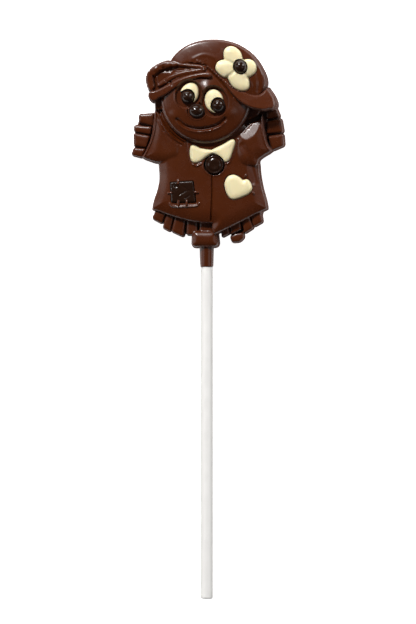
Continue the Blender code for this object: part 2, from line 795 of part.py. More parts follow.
def grooves():
    smile = curve([
        (-10.5, 52.9), (-7.6, 50.6), (-3.6, 49.5), (0.7, 49.8), (4.3, 51.0), (6.8, 53.1),
    ], closed=False)
    neckline = curve([
        (-16.4, 56.1), (-15.1, 52.8), (-12.7, 49.2), (-10.0, 46.7), (-7.5, 45.2),
    ], closed=False)
    front = curve([(1.9, 33.2), (1.9, 25.8), (1.5, 16.6)], closed=False)
    return [Line(smile, 0.9, 1.0), Line(neckline, 0.45, 0.8), Line(front, 0.5, 0.55)]


def pockets():
    return [
        Pocket(ellipse(*MOAT_LEFT), EYE_FLOOR, 0.0, 2.5),
        Pocket(ellipse(*MOAT_RIGHT), EYE_FLOOR, 0.0, 2.5),
        Pocket(ellipse(*NOSE[:2], NOSE[2] + 0.4, NOSE[3] + 0.4, NOSE[4]), NOSE_FLOOR, 0.0, 2.5),
        Pocket(flower_loop(), FLOWER_FLOOR),
        Pocket(ellipse(*FLOWER_CENTRE), FLOWER_SEAT),
        Pocket(ellipse(*BUTTON), BUTTON_FLOOR),
        Pocket(bow_loop(), BOW_FLOOR),
        Pocket(heart_loop(), HEART_FLOOR),
        Pocket(patch_loop(), PATCH_FLOOR),
    ]


def body():
    forms = [crown(), brim(), *flap(), head(), *hair(), coat(), *sleeves(), *hands(), *skirt()]
    forms.append(backing())
    reach_out(forms)
    relief = Relief(forms, grooves(), pockets())
    made = relief_object("body", relief)
    rings = [(0.0, SLEEVE_RADIUS), (SLEEVE_ROOT, SLEEVE_ROOT_RADIUS)]
    sleeve = round_bar("sleeve", rings, STICK_AXIS)
    combine(made, [sleeve, *stitches(relief)], "UNION")
    radius = STICK_RADIUS + BORE_CLEARANCE
    depth = STICK_DEPTH + BORE_OVERRUN
    bore = round_bar("bore", [(BORE_START, radius), (depth, radius)], STICK_AXIS)
    combine(made, [bore], "DIFFERENCE")
    return made


def stick():
    end, top = STICK_END, STICK_DEPTH
    cut, radius = STICK_CHAMFER, STICK_RADIUS
    rings = [(end, radius - cut), (end + 0.3 * cut, radius - 0.4 * cut), (end + cut, radius)]
    rings += [(STICK_MIDDLE, radius), (top, radius)]
    return round_bar("stick", rings, STICK_AXIS)


def inlay(name, forms, floor, cuts=(), lines=(), spacing=0.9):
    """A piece set into the body: it stands on its pocket's floor, at a gap."""
    for form in forms:
        form.rise = POCKET_RISE
    relief = Relief(forms, lines, cuts, base=floor + FLOOR_GAP)
    return relief_object(name, relief, spacing, 1.5 * spacing, step=0.12)


def flower():
    form = Form(inset(flower_loop(), 0.05), 14.0, slope=(-0.08, 0.0), drop=0.9, width=2.8, rounding=0.7)
    middle = np.array(FLOWER_CENTRE[:2])
    creases = []
    for notch in FLOWER_NOTCHES:
        path = np.array([notch, 0.5 * (np.array(notch) + middle)])
        creases.append(Line(path, 0.25, 0.8))
    seat = Pocket(ellipse(*FLOWER_CENTRE), FLOWER_SEAT)
    return inlay("flower", [form], FLOWER_FLOOR, [seat], creases)


def flower_centre():
    form = Form(ellipse(*FLOWER_CENTRE), 15.4, drop=1.5, width=2.4, rounding=0.6)
    return inlay("flower_centre", [form], FLOWER_SEAT, spacing=0.8)


def eye_white(name, white, cuts):
    """The white of an eye, which stops short of the pupil beside it."""
    loop = ellipse(*white)
    form = Form(inset(loop, 0.05), 14.0, drop=0.6, width=2.5, rounding=0.6)
    notches = [Pocket(ellipse(*cut), EYE_FLOOR - 1.0) for cut in cuts]
    return inlay(name, [form], EYE_FLOOR, notches, spacing=0.8)


def pupil(name, place):
    form = Form(ellipse(*place), 15.0, drop=1.3, width=2.3, rounding=0.6)
    return inlay(name, [form], EYE_FLOOR, spacing=0.8)


def nose():
    form = Form(ellipse(*NOSE), 15.4, drop=1.3, width=2.4, rounding=0.7)
    return inlay("nose", [form], NOSE_FLOOR, spacing=0.8)


def bow():
    form = Form(bow_loop(), 9.9, drop=0.5, width=1.8, rounding=0.6)
    notch = Pocket(ellipse(*BUTTON), BOW_FLOOR - 1.0)
    return inlay("bow", [form], BOW_FLOOR, [notch])


def button():
    x, y, half_x, half_y = BUTTON
    form = Form(ellipse(x, y, half_x, half_y), 9.7, drop=0.2, width=1.0, rounding=0.5)
    dish = ellipse(x, y, half_x - 1.0, half_y - 1.0)
    ring = Line(np.append(dish, dish[:1], axis=0), 0.45, 0.45)
    return inlay("button", [form], BUTTON_FLOOR, lines=[ring], spacing=0.7)


def heart():
    form = Form(heart_loop(), 9.4, drop=0.7, width=2.2, rounding=0.6)
    return inlay("heart", [form], HEART_FLOOR)


def patch():
    form = Form(patch_loop(), 9.2, slope=(0.03, 0.0), rounding=0.4)
    return inlay("patch", [form], PATCH_FLOOR)


def material(name, colour, roughness):
    made = bpy.data.materials.new(name)
    made.use_nodes = True
    shader = made.node_tree.nodes["Principled BSDF"]
    shader.inputs["Base Color"].default_value = (*colour, 1)
    shader.inputs["Roughness"].default_value = roughness
    shader.inputs["Metallic"].default_value = 0.0
    return made


def milk_chocolate():
    return material("milk_chocolate", (0.085, 0.024, 0.008), 0.35)


def dark_chocolate():
    return material("dark_chocolate", (0.03, 0.012, 0.007), 0.3)


def white_chocolate():
    return material("white_chocolate", (0.87, 0.78, 0.55), 0.4)


def stick_paper():
    return material("stick_paper", (0.86, 0.84, 0.8), 0.7)


def clear():
    for thing in list(bpy.data.objects):
        bpy.data.objects.remove(thing, do_unlink=True)


def finish(pieces, look, frame):
    """Gives pieces their material and smooth shading, and places them under the frame."""
    for piece in pieces:
        piece.data.materials.clear()
        piece.data.materials.append(look)
        piece.data.shade_smooth()
        piece.data.set_sharp_from_angle(angle=math.radians(SHARP_ANGLE))
        piece.parent = frame


def main():
    clear()
    frame = bpy.data.objects.new("lollipop", None)
    bpy.context.scene.collection.objects.link(frame)
    frame.location = (-BOX_CENTRE[0] * MM, -BOX_CENTRE[1] * MM, 0)
    pale = [
        flower(),
        eye_white("eye_white_left", EYE_LEFT, [PUPIL_LEFT, BARE_LEFT]),
        eye_white("eye_white_right", EYE_RIGHT, [PUPIL_RIGHT]),
        bow(),
        heart(),
    ]
    deep = [
        flower_centre(),
        pupil("pupil_left", PUPIL_LEFT),
        pupil("pupil_right", PUPIL_RIGHT),
        nose(),
        button(),
        patch(),
    ]
    finish([body()], milk_chocolate(), frame)
    finish(pale, white_chocolate(), frame)
    finish(deep, dark_chocolate(), frame)
    finish([stick()], stick_paper(), frame)


main()
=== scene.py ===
# %% [markdown]
# # A chocolate scarecrow on a paper stick
#
# The real thing is made in an open mould. White and dark chocolate are piped into the hollows for the
# flower, the eyes, the nose, the bow, the button, the heart and the patch, and left to set. Milk
# chocolate fills the rest, the stick is laid in, and the back is scraped flat. Turned out, it is a
# relief: every shape on it has a top, a soft edge where the chocolate shrank from the mould, and a wall
# that leans a little so that it could leave the mould.
#
# So this script builds it the way a mould maker would: outlines, a height for each, and one skin drawn
# over them all.

import math

import bmesh
import bpy
import numpy as np
from mathutils import Matrix, Vector
from mathutils.geometry import delaunay_2d_cdt


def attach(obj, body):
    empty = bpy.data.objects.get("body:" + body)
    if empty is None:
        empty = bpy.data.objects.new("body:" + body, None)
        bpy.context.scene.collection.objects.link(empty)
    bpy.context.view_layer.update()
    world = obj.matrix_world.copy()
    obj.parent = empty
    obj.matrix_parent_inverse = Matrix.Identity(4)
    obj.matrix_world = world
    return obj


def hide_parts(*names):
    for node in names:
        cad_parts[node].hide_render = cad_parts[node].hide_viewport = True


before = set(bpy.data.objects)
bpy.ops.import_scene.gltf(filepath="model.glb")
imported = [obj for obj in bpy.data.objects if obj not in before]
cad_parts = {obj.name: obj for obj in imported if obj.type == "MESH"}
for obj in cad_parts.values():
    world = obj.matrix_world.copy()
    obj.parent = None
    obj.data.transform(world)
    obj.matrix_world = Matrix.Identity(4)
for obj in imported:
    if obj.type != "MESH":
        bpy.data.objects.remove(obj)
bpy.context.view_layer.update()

# %% [markdown]
# ## The drawing
# All outlines are in millimetres on one drawing: x across the figure, y up it from the end of the
# chocolate sleeve, z up from the flat back. The part's frame has its zero under the middle of the whole
# box, so one shift takes the drawing there.

# %% Units and the shift from the drawing to the part's frame
MM = 0.001
SHIFT = np.array([-0.2, 18.86])
SPACING = 0.3
FILL = 0.42
MERGE = 0.07


def placed(x, y, z):
    return ((x + SHIFT[0]) * MM, (y + SHIFT[1]) * MM, z * MM)


def in_scene(name, data):
    made = bpy.data.objects.new(name, data)
    bpy.context.scene.collection.objects.link(made)
    return made


# %% [markdown]
# ## Outlines
# Most outlines on a mould like this were carved by hand: a few points with a smooth line through them
# say it better than any formula. Where two lines meet in a corner the point carries a third number.
# Eyes, nose and button are true ellipses, and straw is a polygon with its corners rounded off.

# %% Smooth lines, ellipses and rounded tiles
def heading(start, end):
    length = math.dist(start, end)
    return (end - start) / length if length else end - start


def curve(points, steps=14, closed=True):
    """A smooth line through the points. A point with a third number is a sharp corner."""
    spots = [np.array(p[:2], float) for p in points]
    sharp = [len(p) > 2 for p in points]
    count = len(spots)
    made = []
    for i in range(count if closed else count - 1):
        j = (i + 1) % count
        here, there = spots[i], spots[j]
        before = spots[i - 1] if closed or i > 0 else here
        after = spots[(i + 2) % count] if closed or i + 2 < count else there
        length = math.dist(here, there)
        leave = there - here if sharp[i] else heading(before, there) * length
        arrive = there - here if sharp[j] else heading(here, after) * length
        for t in np.arange(steps) / steps:
            made.append(
                (2 * t**3 - 3 * t**2 + 1) * here
                + (t**3 - 2 * t**2 + t) * leave
                + (3 * t**2 - 2 * t**3) * there
                + (t**3 - t**2) * arrive
            )
    return np.array(made if closed else [*made, spots[-1]])


def stroke(*points):
    """An open smooth line."""
    return curve(points, closed=False)


def ellipse(x, y, half_x, half_y, turn=0.0, steps=96):
    angle = np.linspace(0, 2 * math.pi, steps, endpoint=False)
    along, across = half_x * np.cos(angle), half_y * np.sin(angle)
    c, s = math.cos(math.radians(turn)), math.sin(math.radians(turn))
    return np.stack([x + along * c - across * s, y + along * s + across * c], 1)


def tile(corners, rounding=0.55):
    """A polygon with each corner rounded off."""
    made = []
    for i, corner in enumerate(corners):
        spot = np.array(corner, float)
        back = heading(spot, np.array(corners[i - 1], float))
        on = heading(spot, np.array(corners[(i + 1) % len(corners)], float))
        for t in np.linspace(0, 1, 7):
            made.append(spot + rounding * (back * (1 - t) ** 2 + on * t**2))
    return np.array(made)


def normals(loop):
    """The outward direction at each point of a closed loop, longer at a corner."""
    ahead = np.roll(loop, -1, axis=0) - loop
    ahead /= np.maximum(np.linalg.norm(ahead, axis=1), 1e-9)[:, None]
    out = np.stack([ahead[:, 1], -ahead[:, 0]], 1)
    x, y = loop[:, 0], loop[:, 1]
    if np.sum(x * np.roll(y, -1) - np.roll(x, -1) * y) < 0:
        out = -out
    both = out + np.roll(out, 1, axis=0)
    return both / np.maximum(np.sum(both**2, 1) / 2, 0.6)[:, None]


def inset(loop, width):
    return loop - normals(loop) * width


def tell(what, loop):
    wide, tall = np.ptp(loop, 0)
    print(f"{what}: {wide:.1f} by {tall:.1f} mm")


# %% [markdown]
# ## How far a spot is from an outline
# Each height below starts from one question: how far inside or outside an outline is this spot? The
# answer is worked out once on a fine table for each outline and read back between its entries, because
# the same question comes up hundreds of thousands of times.

# %% Distances
FAR = 30.0


def edge_distance(line, spots):
    """Distance to a line of points."""
    nearest = np.full(len(spots), np.inf)
    for start, end in zip(line[:-1], line[1:]):
        side = end - start
        rel = spots - start
        t = np.clip(rel @ side / max(side @ side, 1e-12), 0, 1)
        off = rel - t[:, None] * side
        nearest = np.minimum(nearest, off[:, 0] ** 2 + off[:, 1] ** 2)
    return np.sqrt(nearest)


def is_inside(loop, spots):
    inside = np.zeros(len(spots), bool)
    for start, end in zip(loop, np.roll(loop, -1, axis=0)):
        if start[1] != end[1]:
            crosses = (start[1] > spots[:, 1]) != (end[1] > spots[:, 1])
            lean = (end[0] - start[0]) / (end[1] - start[1])
            inside ^= crosses & (spots[:, 0] < start[0] + (spots[:, 1] - start[1]) * lean)
    return inside


class Table:
    """Distances to one outline or line, negative inside an outline, kept on a grid."""

    def __init__(self, line, closed=True, margin=3.0):
        self.low = line.min(0) - margin
        span = np.ptp(line, 0) + 2 * margin
        self.step = 0.1 if span.max() < 20 else 0.16
        self.count = np.ceil(span / self.step).astype(int) + 1
        axes = [self.low[k] + self.step * np.arange(self.count[k]) for k in (0, 1)]
        grid = np.stack(np.meshgrid(*axes, indexing="ij"), -1).reshape(-1, 2)
        ring = np.append(line, line[:1], axis=0) if closed else line
        off = edge_distance(ring, grid)
        if closed:
            off[is_inside(line, grid)] *= -1
        self.values = off.reshape(self.count)

    def __call__(self, spots):
        at = (spots - self.low) / self.step
        made = np.full(len(spots), FAR)
        near = np.all((at >= 0) & (at < self.count - 1.001), axis=1)
        cell = at[near].astype(int)
        u, v = (at[near] - cell).T
        i, j = cell.T
        made[near] = (
            self.values[i, j] * (1 - u) * (1 - v)
            + self.values[i + 1, j] * u * (1 - v)
            + self.values[i, j + 1] * (1 - u) * v
            + self.values[i + 1, j + 1] * u * v
        )
        return made


# %% [markdown]
# ## Forms, lines and pockets
# A form is one raised shape. Its top may slope and may swell towards the middle; its edge turns over
# with a small radius and then drops as a wall. Where forms overlap, the higher one shows, exactly as
# stacked carving does. A line is a groove or a welt drawn on them, and a bump is a soft swelling. A
# pocket is the recess that an inlay sits in, and a facet is a flat cut. Either of these two may also cut
# one form alone, before the others are laid over it.

# %% Forms
SOFT_RISE, SOFT_DEPTH, WALL_RISE = 7.5, 1.2, 22.0
POCKET_RISE, POCKET_GAP = 9.0, 0.07


class Form:
    """
    A raised shape. Its top is at a height in the middle of its outline and slopes from there, falls by
    drop over the outer width, sinks to both sides with a barrel, and turns over with a rounding.
    """

    def __init__(self, loop, top, slope=(0, 0), drop=0.0, width=1.0, rounding=0.5, **more):
        self.loop = loop
        self.middle = (loop.min(0) + loop.max(0)) / 2
        self.top = top
        self.slope = np.array(slope, float)
        self.drop = drop
        self.width = width
        self.rounding = rounding
        self.barrel = more.get("barrel", 0.0)
        self.rise = more.get("rise", SOFT_RISE)
        self.cut = more.get("cut")
        self.table = None

    def level(self, spots, off):
        """The height of spots that are this far off the outline."""
        made = self.top + (spots - self.middle) @ self.slope - self.barrel * spots[:, 0] ** 2
        made -= self.drop * (1 - np.clip(-off / self.width, 0, 1)) ** 2
        turn = np.clip(1 + off / self.rounding, 0, 1)
        made -= self.rounding * (1 - np.sqrt(1 - 0.97 * turn**2))
        soft = SOFT_DEPTH / self.rise
        made -= self.rise * np.clip(off, 0, soft) + WALL_RISE * np.maximum(off - soft, 0)
        return np.where(off < FAR, made, -FAR)

    def off(self, spots):
        if self.table is None:
            self.table = Table(self.loop)
        return self.table(spots)

    def height(self, spots):
        made = self.level(spots, self.off(spots))
        return np.minimum(made, self.cut.height(spots)) if self.cut else made


# %% Lines and bumps
class Line:
    """Depth above zero makes a groove, below zero a welt."""

    def __init__(self, path, depth, half_width, closed=False):
        path = np.array(path, float)
        self.path = np.append(path, path[:1], axis=0) if closed else path
        self.off = Table(self.path, closed=False)
        self.depth = depth
        self.half_width = half_width

    def height(self, spots):
        t = np.clip(self.off(spots) / self.half_width, 0, 1)
        return -self.depth * (1 - t**2) ** 2


class Bump:
    """A soft swelling, or a dimple where its height is below zero."""

    def __init__(self, x, y, half_x, half_y, rise):
        self.middle = np.array([x, y])
        self.half = np.array([half_x, half_y])
        self.rise = rise

    def height(self, spots):
        t = np.minimum(np.sum(((spots - self.middle) / self.half) ** 2, 1), 1)
        return self.rise * (1 - t) ** 2


# %% Pockets and facets
class Pocket:
    """A recess with a flat floor, a little wider than its outline, and a steep wall round it."""

    def __init__(self, loop, floor, gap=POCKET_GAP, rise=POCKET_RISE):
        self.loop = loop
        self.off = Table(loop, margin=2.0)
        self.floor = floor
        self.gap = gap
        self.rise = rise

    def height(self, spots):
        return self.floor + self.rise * np.maximum(self.off(spots) - self.gap, 0)


class Facet:
    """A flat cut: it passes through a spot at a height and rises from there in one direction."""

    def __init__(self, x, y, height, rise_x, rise_y):
        self.spot = np.array([x, y])
        self.level = height
        self.rise = np.array([rise_x, rise_y])

    def height(self, spots):
        return self.level + (spots - self.spot) @ self.rise


# %% All shapes as one relief
class Relief:
    """Forms, the lines and bumps on them and the pockets cut in them, as one height for each spot."""

    def __init__(self, forms, lines=(), pockets=(), base=0.0):
        self.forms = forms
        self.lines = lines
        self.pockets = pockets
        self.base = base

    def raised(self, spots, without=None):
        made = np.full(len(spots), -FAR)
        for form in self.forms:
            if form is not without:
                made = np.maximum(made, form.height(spots))
        return made

    def lined(self, spots):
        made = self.raised(spots)
        for line in self.lines:
            made += line.height(spots)
        return made

    def height(self, spots):
        made = self.lined(spots)
        for pocket in self.pockets:
            made = np.minimum(made, pocket.height(spots))
        return made


# %% [markdown]
# The outlines were drawn with walls that lean one in seven and a half. Where an edge is the figure's
# outer edge the real wall is steeper, so there the outline moves out until the foot of its wall is
# where it was. Edges above another form stay.

# %% Outer edges reach almost to the border
DRAWN_RISE = 7.5


def reach_out(forms, look=1.0, clear=0.35, smooth=5):
    moved = []
    for form in forms:
        out = normals(form.loop)
        spots = form.loop + out * look
        bare = np.ones(len(spots), bool)
        for other in forms:
            if other is not form:
                ring = np.append(other.loop, other.loop[:1], axis=0)
                bare &= (edge_distance(ring, spots) > clear) & ~is_inside(other.loop, spots)
        shares = np.mean([np.roll(bare, k) for k in range(-smooth, smooth + 1)], axis=0)
        edge = form.level(form.loop, np.zeros(len(form.loop)))
        was = edge / DRAWN_RISE
        will_be = SOFT_DEPTH / form.rise + (edge - SOFT_DEPTH) / WALL_RISE
        moved.append(form.loop + out * (shares * np.maximum(was - will_be, 0))[:, None])
    for form, loop in zip(forms, moved):
        form.loop = loop


# %% [markdown]
# ## A skin over the relief
# A plain grid would cut every edge into steps. Instead the skin gets rows of points that follow each
# form: one where its top starts to turn, some round the turn, one at the foot of its wall, found by
# walking outwards until something else is higher. The rest is filled evenly, and all points are joined
# in the plane before each is lifted to its height. The outer border is traced where the height reaches
# the back.

# %% Tracing the border of a relief
def contour(value, low, high, step):
    """The longest closed line between low and high along which value() is zero."""
    count = np.ceil((high - low) / step).astype(int) + 1
    axes = [low[k] + step * np.arange(count[k]) for k in (0, 1)]
    grid = np.stack(np.meshgrid(*axes, indexing="ij"), -1).reshape(-1, 2)
    level = value(grid).reshape(count)
    high_side = level > 0
    joined = {}
    whole = high_side.astype(int)
    above = whole[:-1, :-1] + whole[1:, :-1] + whole[:-1, 1:] + whole[1:, 1:]
    for i, j in np.argwhere((above > 0) & (above < 4)):
        corners = [(i, j), (i + 1, j), (i + 1, j + 1), (i, j + 1)]
        pairs = zip(corners, corners[1:] + corners[:1])
        cut = [(min(a, b), max(a, b)) for a, b in pairs if high_side[a] != high_side[b]]
        for a, b in zip(cut[::2], cut[1::2]):
            joined.setdefault(a, []).append(b)
            joined.setdefault(b, []).append(a)
    longest = []
    while joined:
        path = [next(iter(joined))]
        while joined[path[-1]]:
            there = joined[path[-1]].pop()
            joined[there].remove(path[-1])
            path.append(there)
        for side in set(path):
            if not joined[side]:
                del joined[side]
        longest = max(longest, path[:-1], key=len)
    made = []
    for a, b in longest:
        t = level[a] / (level[a] - level[b])
        made.append(low + step * (np.array(a) * (1 - t) + np.array(b) * t))
    return np.array(made)


def respace(path, longest, closed=True):
    """The same line with its points evenly spaced."""
    if closed:
        path = np.append(path, path[:1], axis=0)
    run = np.append(0, np.cumsum(np.linalg.norm(np.diff(path, axis=0), axis=1)))
    at = np.linspace(0, run[-1], max(3, math.ceil(run[-1] / longest)) + 1)
    made = np.stack([np.interp(at, run, path[:, 0]), np.interp(at, run, path[:, 1])], 1)
    return made[:-1] if closed else made


# %% [markdown]
# Rows of two neighbouring forms often run into each other, so the sheet keeps one point where two would
# fall closer than a tenth of a millimetre.

# %% Collecting the points of a skin
ROUND_SHARES = (0.0, 0.08, 0.25, 0.5, 0.75, 1.0)
LINE_SHARES = (0.0, -0.33, 0.33, -0.66, 0.66, -1.0, 1.0)
ABOVE_BASE = 0.3


class Sheet:
    def __init__(self):
        self.spots = []
        self.cells = {}
        self.edges = set()

    def near(self, spot, reach):
        span = int(reach / MERGE) + 1
        x, y = int(spot[0] // MERGE), int(spot[1] // MERGE)
        for i in range(x - span, x + span + 1):
            for j in range(y - span, y + span + 1):
                k = self.cells.get((i, j))
                if k is not None and math.dist(self.spots[k], spot) < reach:
                    return k
        return None

    def add(self, spot, always=False):
        found = None if always else self.near(spot, MERGE)
        if found is None:
            found = len(self.spots)
            self.cells[(int(spot[0] // MERGE), int(spot[1] // MERGE))] = found
            self.spots.append((float(spot[0]), float(spot[1])))
        return found

    def add_path(self, spots, longest, border=False):
        """Adds the spots, and keeps a line between two that follow each other closely."""
        ids = [self.add(spot, always=border) for spot in spots]
        for a, b in zip(ids, ids[1:] + ids[:1]):
            if a != b and math.dist(self.spots[a], self.spots[b]) < longest:
                self.edges.add((min(a, b), max(a, b)))
        return ids


# %% Choosing all points of a skin
def crossing(starts, out, above, longest=2.4, steps=32):
    """From each start outwards, the first spot where above() turns negative."""
    ways = np.linspace(0, longest, steps)
    spots = starts[:, None, :] + out[:, None, :] * ways[None, :, None]
    values = above(spots.reshape(-1, 2)).reshape(len(starts), steps)
    made = []
    for i, row in enumerate(values):
        under = np.nonzero(row <= 0)[0]
        if row[0] > 0 and len(under):
            k = under[0]
            t = row[k - 1] / (row[k - 1] - row[k])
            made.append(spots[i, k - 1] * (1 - t) + spots[i, k] * t)
    return np.array(made).reshape(-1, 2)


def plan(relief, spacing, fill, grid):
    """All points of a relief's skin."""
    sheet = Sheet()
    loops = np.concatenate([form.loop for form in relief.forms])
    border = contour(
        lambda spots: relief.height(spots) - relief.base, loops.min(0) - 2.5, loops.max(0) + 2.5, grid
    )
    rim = sheet.add_path(respace(border, spacing), 3 * spacing, border=True)

    def add(spots):
        if len(spots):
            inside = relief.height(spots) > relief.base + ABOVE_BASE
            sheet.add_path(spots[inside], 1.6 * spacing)

    for pocket in relief.pockets:
        ring = respace(pocket.loop, spacing)
        out = normals(ring)
        below = max(0.0, relief.base - pocket.floor)
        wall = ring + out * (pocket.gap + below / pocket.rise)
        if not below:
            add(wall[np.abs(pocket.off(wall) - pocket.gap) < 0.05])
        add(crossing(wall, out, lambda s: relief.lined(s) - pocket.height(s) + 1e-3))
    for form in relief.forms:
        ring = respace(form.loop, spacing)
        out = normals(ring)
        foot = crossing(
            ring, out, lambda s: form.height(s) - np.maximum(relief.raised(s, form), relief.base)
        )
        add(foot)
        for part in ROUND_SHARES:
            row = ring - out * part * form.rounding
            still = np.abs(form.off(row) + part * form.rounding) < 0.06
            shown = form.height(row) >= relief.raised(row, form) - 0.02
            add(row[still & shown])
    for line in relief.lines:
        if isinstance(line, Line):
            middle = respace(line.path, spacing, closed=False)
            ahead = np.gradient(middle, axis=0)
            side = np.stack([ahead[:, 1], -ahead[:, 0]], 1) / np.linalg.norm(ahead, axis=1)[:, None]
            for part in LINE_SHARES:
                add(middle + side * part * line.half_width)
    low, high = loops.min(0) - 1, loops.max(0) + 1
    even = []
    for k, y in enumerate(np.arange(low[1], high[1], 0.866 * fill)):
        even += [(x, y) for x in np.arange(low[0] + fill * 0.5 * (k % 2), high[0], fill)]
    even = np.array(even)
    for spot in even[relief.height(even) > relief.base + ABOVE_BASE]:
        if sheet.near(spot, 0.62 * fill) is None:
            sheet.add(spot)
    return sheet, rim


# %% Lifting the skin into a solid
def relief_object(name, relief, spacing=SPACING, fill=FILL, grid=0.15, sharp=50):
    """A closed piece with the relief on top and a flat face under it."""
    sheet, rim = plan(relief, spacing, fill, grid)
    flat = [Vector(spot) for spot in sheet.spots]
    points, _, faces, *_ = delaunay_2d_cdt(flat, sorted(sheet.edges), [rim], 1, 1e-5)
    places = np.array([tuple(point) for point in points])
    rise = np.maximum(relief.height(places), relief.base + 0.02)
    mesh = bmesh.new()
    verts = [mesh.verts.new(placed(x, y, z)) for (x, y), z in zip(places, rise)]
    for face in faces:
        mesh.faces.new([verts[k] for k in face])
    bmesh.ops.delete(mesh, geom=[v for v in mesh.verts if not v.link_faces], context="VERTS")
    border = [edge for edge in mesh.edges if edge.is_boundary]
    for vert in {vert for edge in border for vert in edge.verts}:
        vert.co.z = relief.base * MM
    bmesh.ops.contextual_create(mesh, geom=border)
    bmesh.ops.recalc_face_normals(mesh, faces=mesh.faces)
    data = bpy.data.meshes.new(name)
    mesh.to_mesh(data)
    mesh.free()
    data.shade_smooth()
    data.set_sharp_from_angle(angle=math.radians(sharp))
    print(f"{name}: {len(data.vertices)} points, {len(data.polygons)} faces")
    return in_scene(name, data)


# %% [markdown]
# ## Chocolate
# The three chocolates share one surface: it takes the mould's polish, so it is smooth, but it isn't
# perfect. Cocoa butter comes up in faint cloudy patches, tiny bubbles leave specks, and fingers and
# packing rub the shine in places. Only what faces up took the polish; walls dragged out of the mould
# are dull, so the roughness climbs where the surface is steep. One node group makes these as a colour,
# a roughness and a height, and each material says how strong they are.

# %% Helpers for shader nodes
def group_with(name, inputs, outputs):
    made = bpy.data.node_groups.new(name, "ShaderNodeTree")
    for label, kind, default in inputs:
        socket = made.interface.new_socket(label, in_out="INPUT", socket_type=kind)
        socket.default_value = default
    for label, kind in outputs:
        made.interface.new_socket(label, in_out="OUTPUT", socket_type=kind)
    return made, made.nodes.new("NodeGroupInput"), made.nodes.new("NodeGroupOutput")


def noise(tree, where, scale, detail, rough=0.5):
    made = tree.nodes.new("ShaderNodeTexNoise")
    made.inputs["Scale"].default_value = scale
    made.inputs["Detail"].default_value = detail
    made.inputs["Roughness"].default_value = rough
    tree.links.new(where, made.inputs["Vector"])
    return made.outputs["Fac"]


def ramp(tree, value, low, high, to_low=0.0, to_high=1.0):
    made = tree.nodes.new("ShaderNodeMapRange")
    made.inputs["From Min"].default_value = low
    made.inputs["From Max"].default_value = high
    made.inputs["To Min"].default_value = to_low
    made.inputs["To Max"].default_value = to_high
    tree.links.new(value, made.inputs["Value"])
    return made.outputs["Result"]


def math_node(tree, kind, *values):
    made = tree.nodes.new("ShaderNodeMath")
    made.operation = kind
    for socket, value in zip(made.inputs, values):
        if isinstance(value, (int, float)):
            socket.default_value = value
        else:
            tree.links.new(value, socket)
    return made.outputs[0]


def coordinates(tree):
    """Where a spot is on its piece, and how far it faces up, from -1 to 1."""
    place = tree.nodes.new("ShaderNodeTexCoord")
    facing = tree.nodes.new("ShaderNodeSeparateXYZ")
    tree.links.new(place.outputs["Normal"], facing.inputs[0])
    return place.outputs["Object"], facing.outputs[2]


def mixed(tree, factor, a, b):
    made = tree.nodes.new("ShaderNodeMix")
    made.data_type = "RGBA"
    tree.links.new(factor, made.inputs[0])
    tree.links.new(a, made.inputs[6])
    tree.links.new(b, made.inputs[7])
    return made.outputs[2]


# %% The chocolate surface
def chocolate_surface():
    tree, start, end = group_with(
        "chocolate surface",
        [
            ("Colour", "NodeSocketColor", (0.1, 0.03, 0.01, 1)),
            ("Cloudy Colour", "NodeSocketColor", (0.15, 0.06, 0.03, 1)),
            ("Cloud", "NodeSocketFloat", 0.4),
            ("Gloss", "NodeSocketFloat", 0.3),
            ("Rub", "NodeSocketFloat", 0.15),
        ],
        [
            ("Colour", "NodeSocketColor"),
            ("Roughness", "NodeSocketFloat"),
            ("Height", "NodeSocketFloat"),
        ],
    )
    where, upward = coordinates(tree)
    steep = ramp(tree, upward, 0.2, 0.65, 1.0, 0.0)
    cloud = ramp(tree, noise(tree, where, 110, 4), 0.42, 0.68)
    specks = ramp(tree, noise(tree, where, 2600, 2), 0.68, 0.76)
    cloudy = math_node(tree, "MULTIPLY", cloud, start.outputs["Cloud"])
    cloudy = math_node(tree, "MAXIMUM", cloudy, math_node(tree, "MULTIPLY", specks, 0.12))
    colour = mixed(tree, cloudy, start.outputs["Colour"], start.outputs["Cloudy Colour"])
    rubbed = ramp(tree, noise(tree, where, 260, 5, 0.62), 0.35, 0.72)
    rough = math_node(tree, "MULTIPLY_ADD", rubbed, start.outputs["Rub"], start.outputs["Gloss"])
    dents = noise(tree, where, 420, 3)
    pores = ramp(tree, noise(tree, where, 3200, 1), 0.7, 0.78, 0, -0.35)
    height = math_node(tree, "ADD", dents, pores)
    tree.links.new(colour, end.inputs["Colour"])
    tree.links.new(math_node(tree, "MAXIMUM", rough, steep), end.inputs["Roughness"])
    tree.links.new(height, end.inputs["Height"])
    return tree


SURFACE = chocolate_surface()


# %% Milk, dark and white chocolate
def material_with(name, group, values, strength, depth):
    """A material that takes its colour, roughness and height from a group, set to these values."""
    made = bpy.data.materials.new(name)
    made.use_nodes = True
    tree = made.node_tree
    skin = tree.nodes["Principled BSDF"]
    surface = tree.nodes.new("ShaderNodeGroup")
    surface.node_tree = group
    for label, value in values.items():
        surface.inputs[label].default_value = (*value, 1) if isinstance(value, tuple) else value
    bump = tree.nodes.new("ShaderNodeBump")
    bump.inputs["Strength"].default_value = strength
    bump.inputs["Distance"].default_value = depth
    tree.links.new(surface.outputs["Height"], bump.inputs["Height"])
    tree.links.new(surface.outputs["Colour"], skin.inputs["Base Color"])
    tree.links.new(surface.outputs["Roughness"], skin.inputs["Roughness"])
    tree.links.new(bump.outputs["Normal"], skin.inputs["Normal"])
    return made, skin.inputs


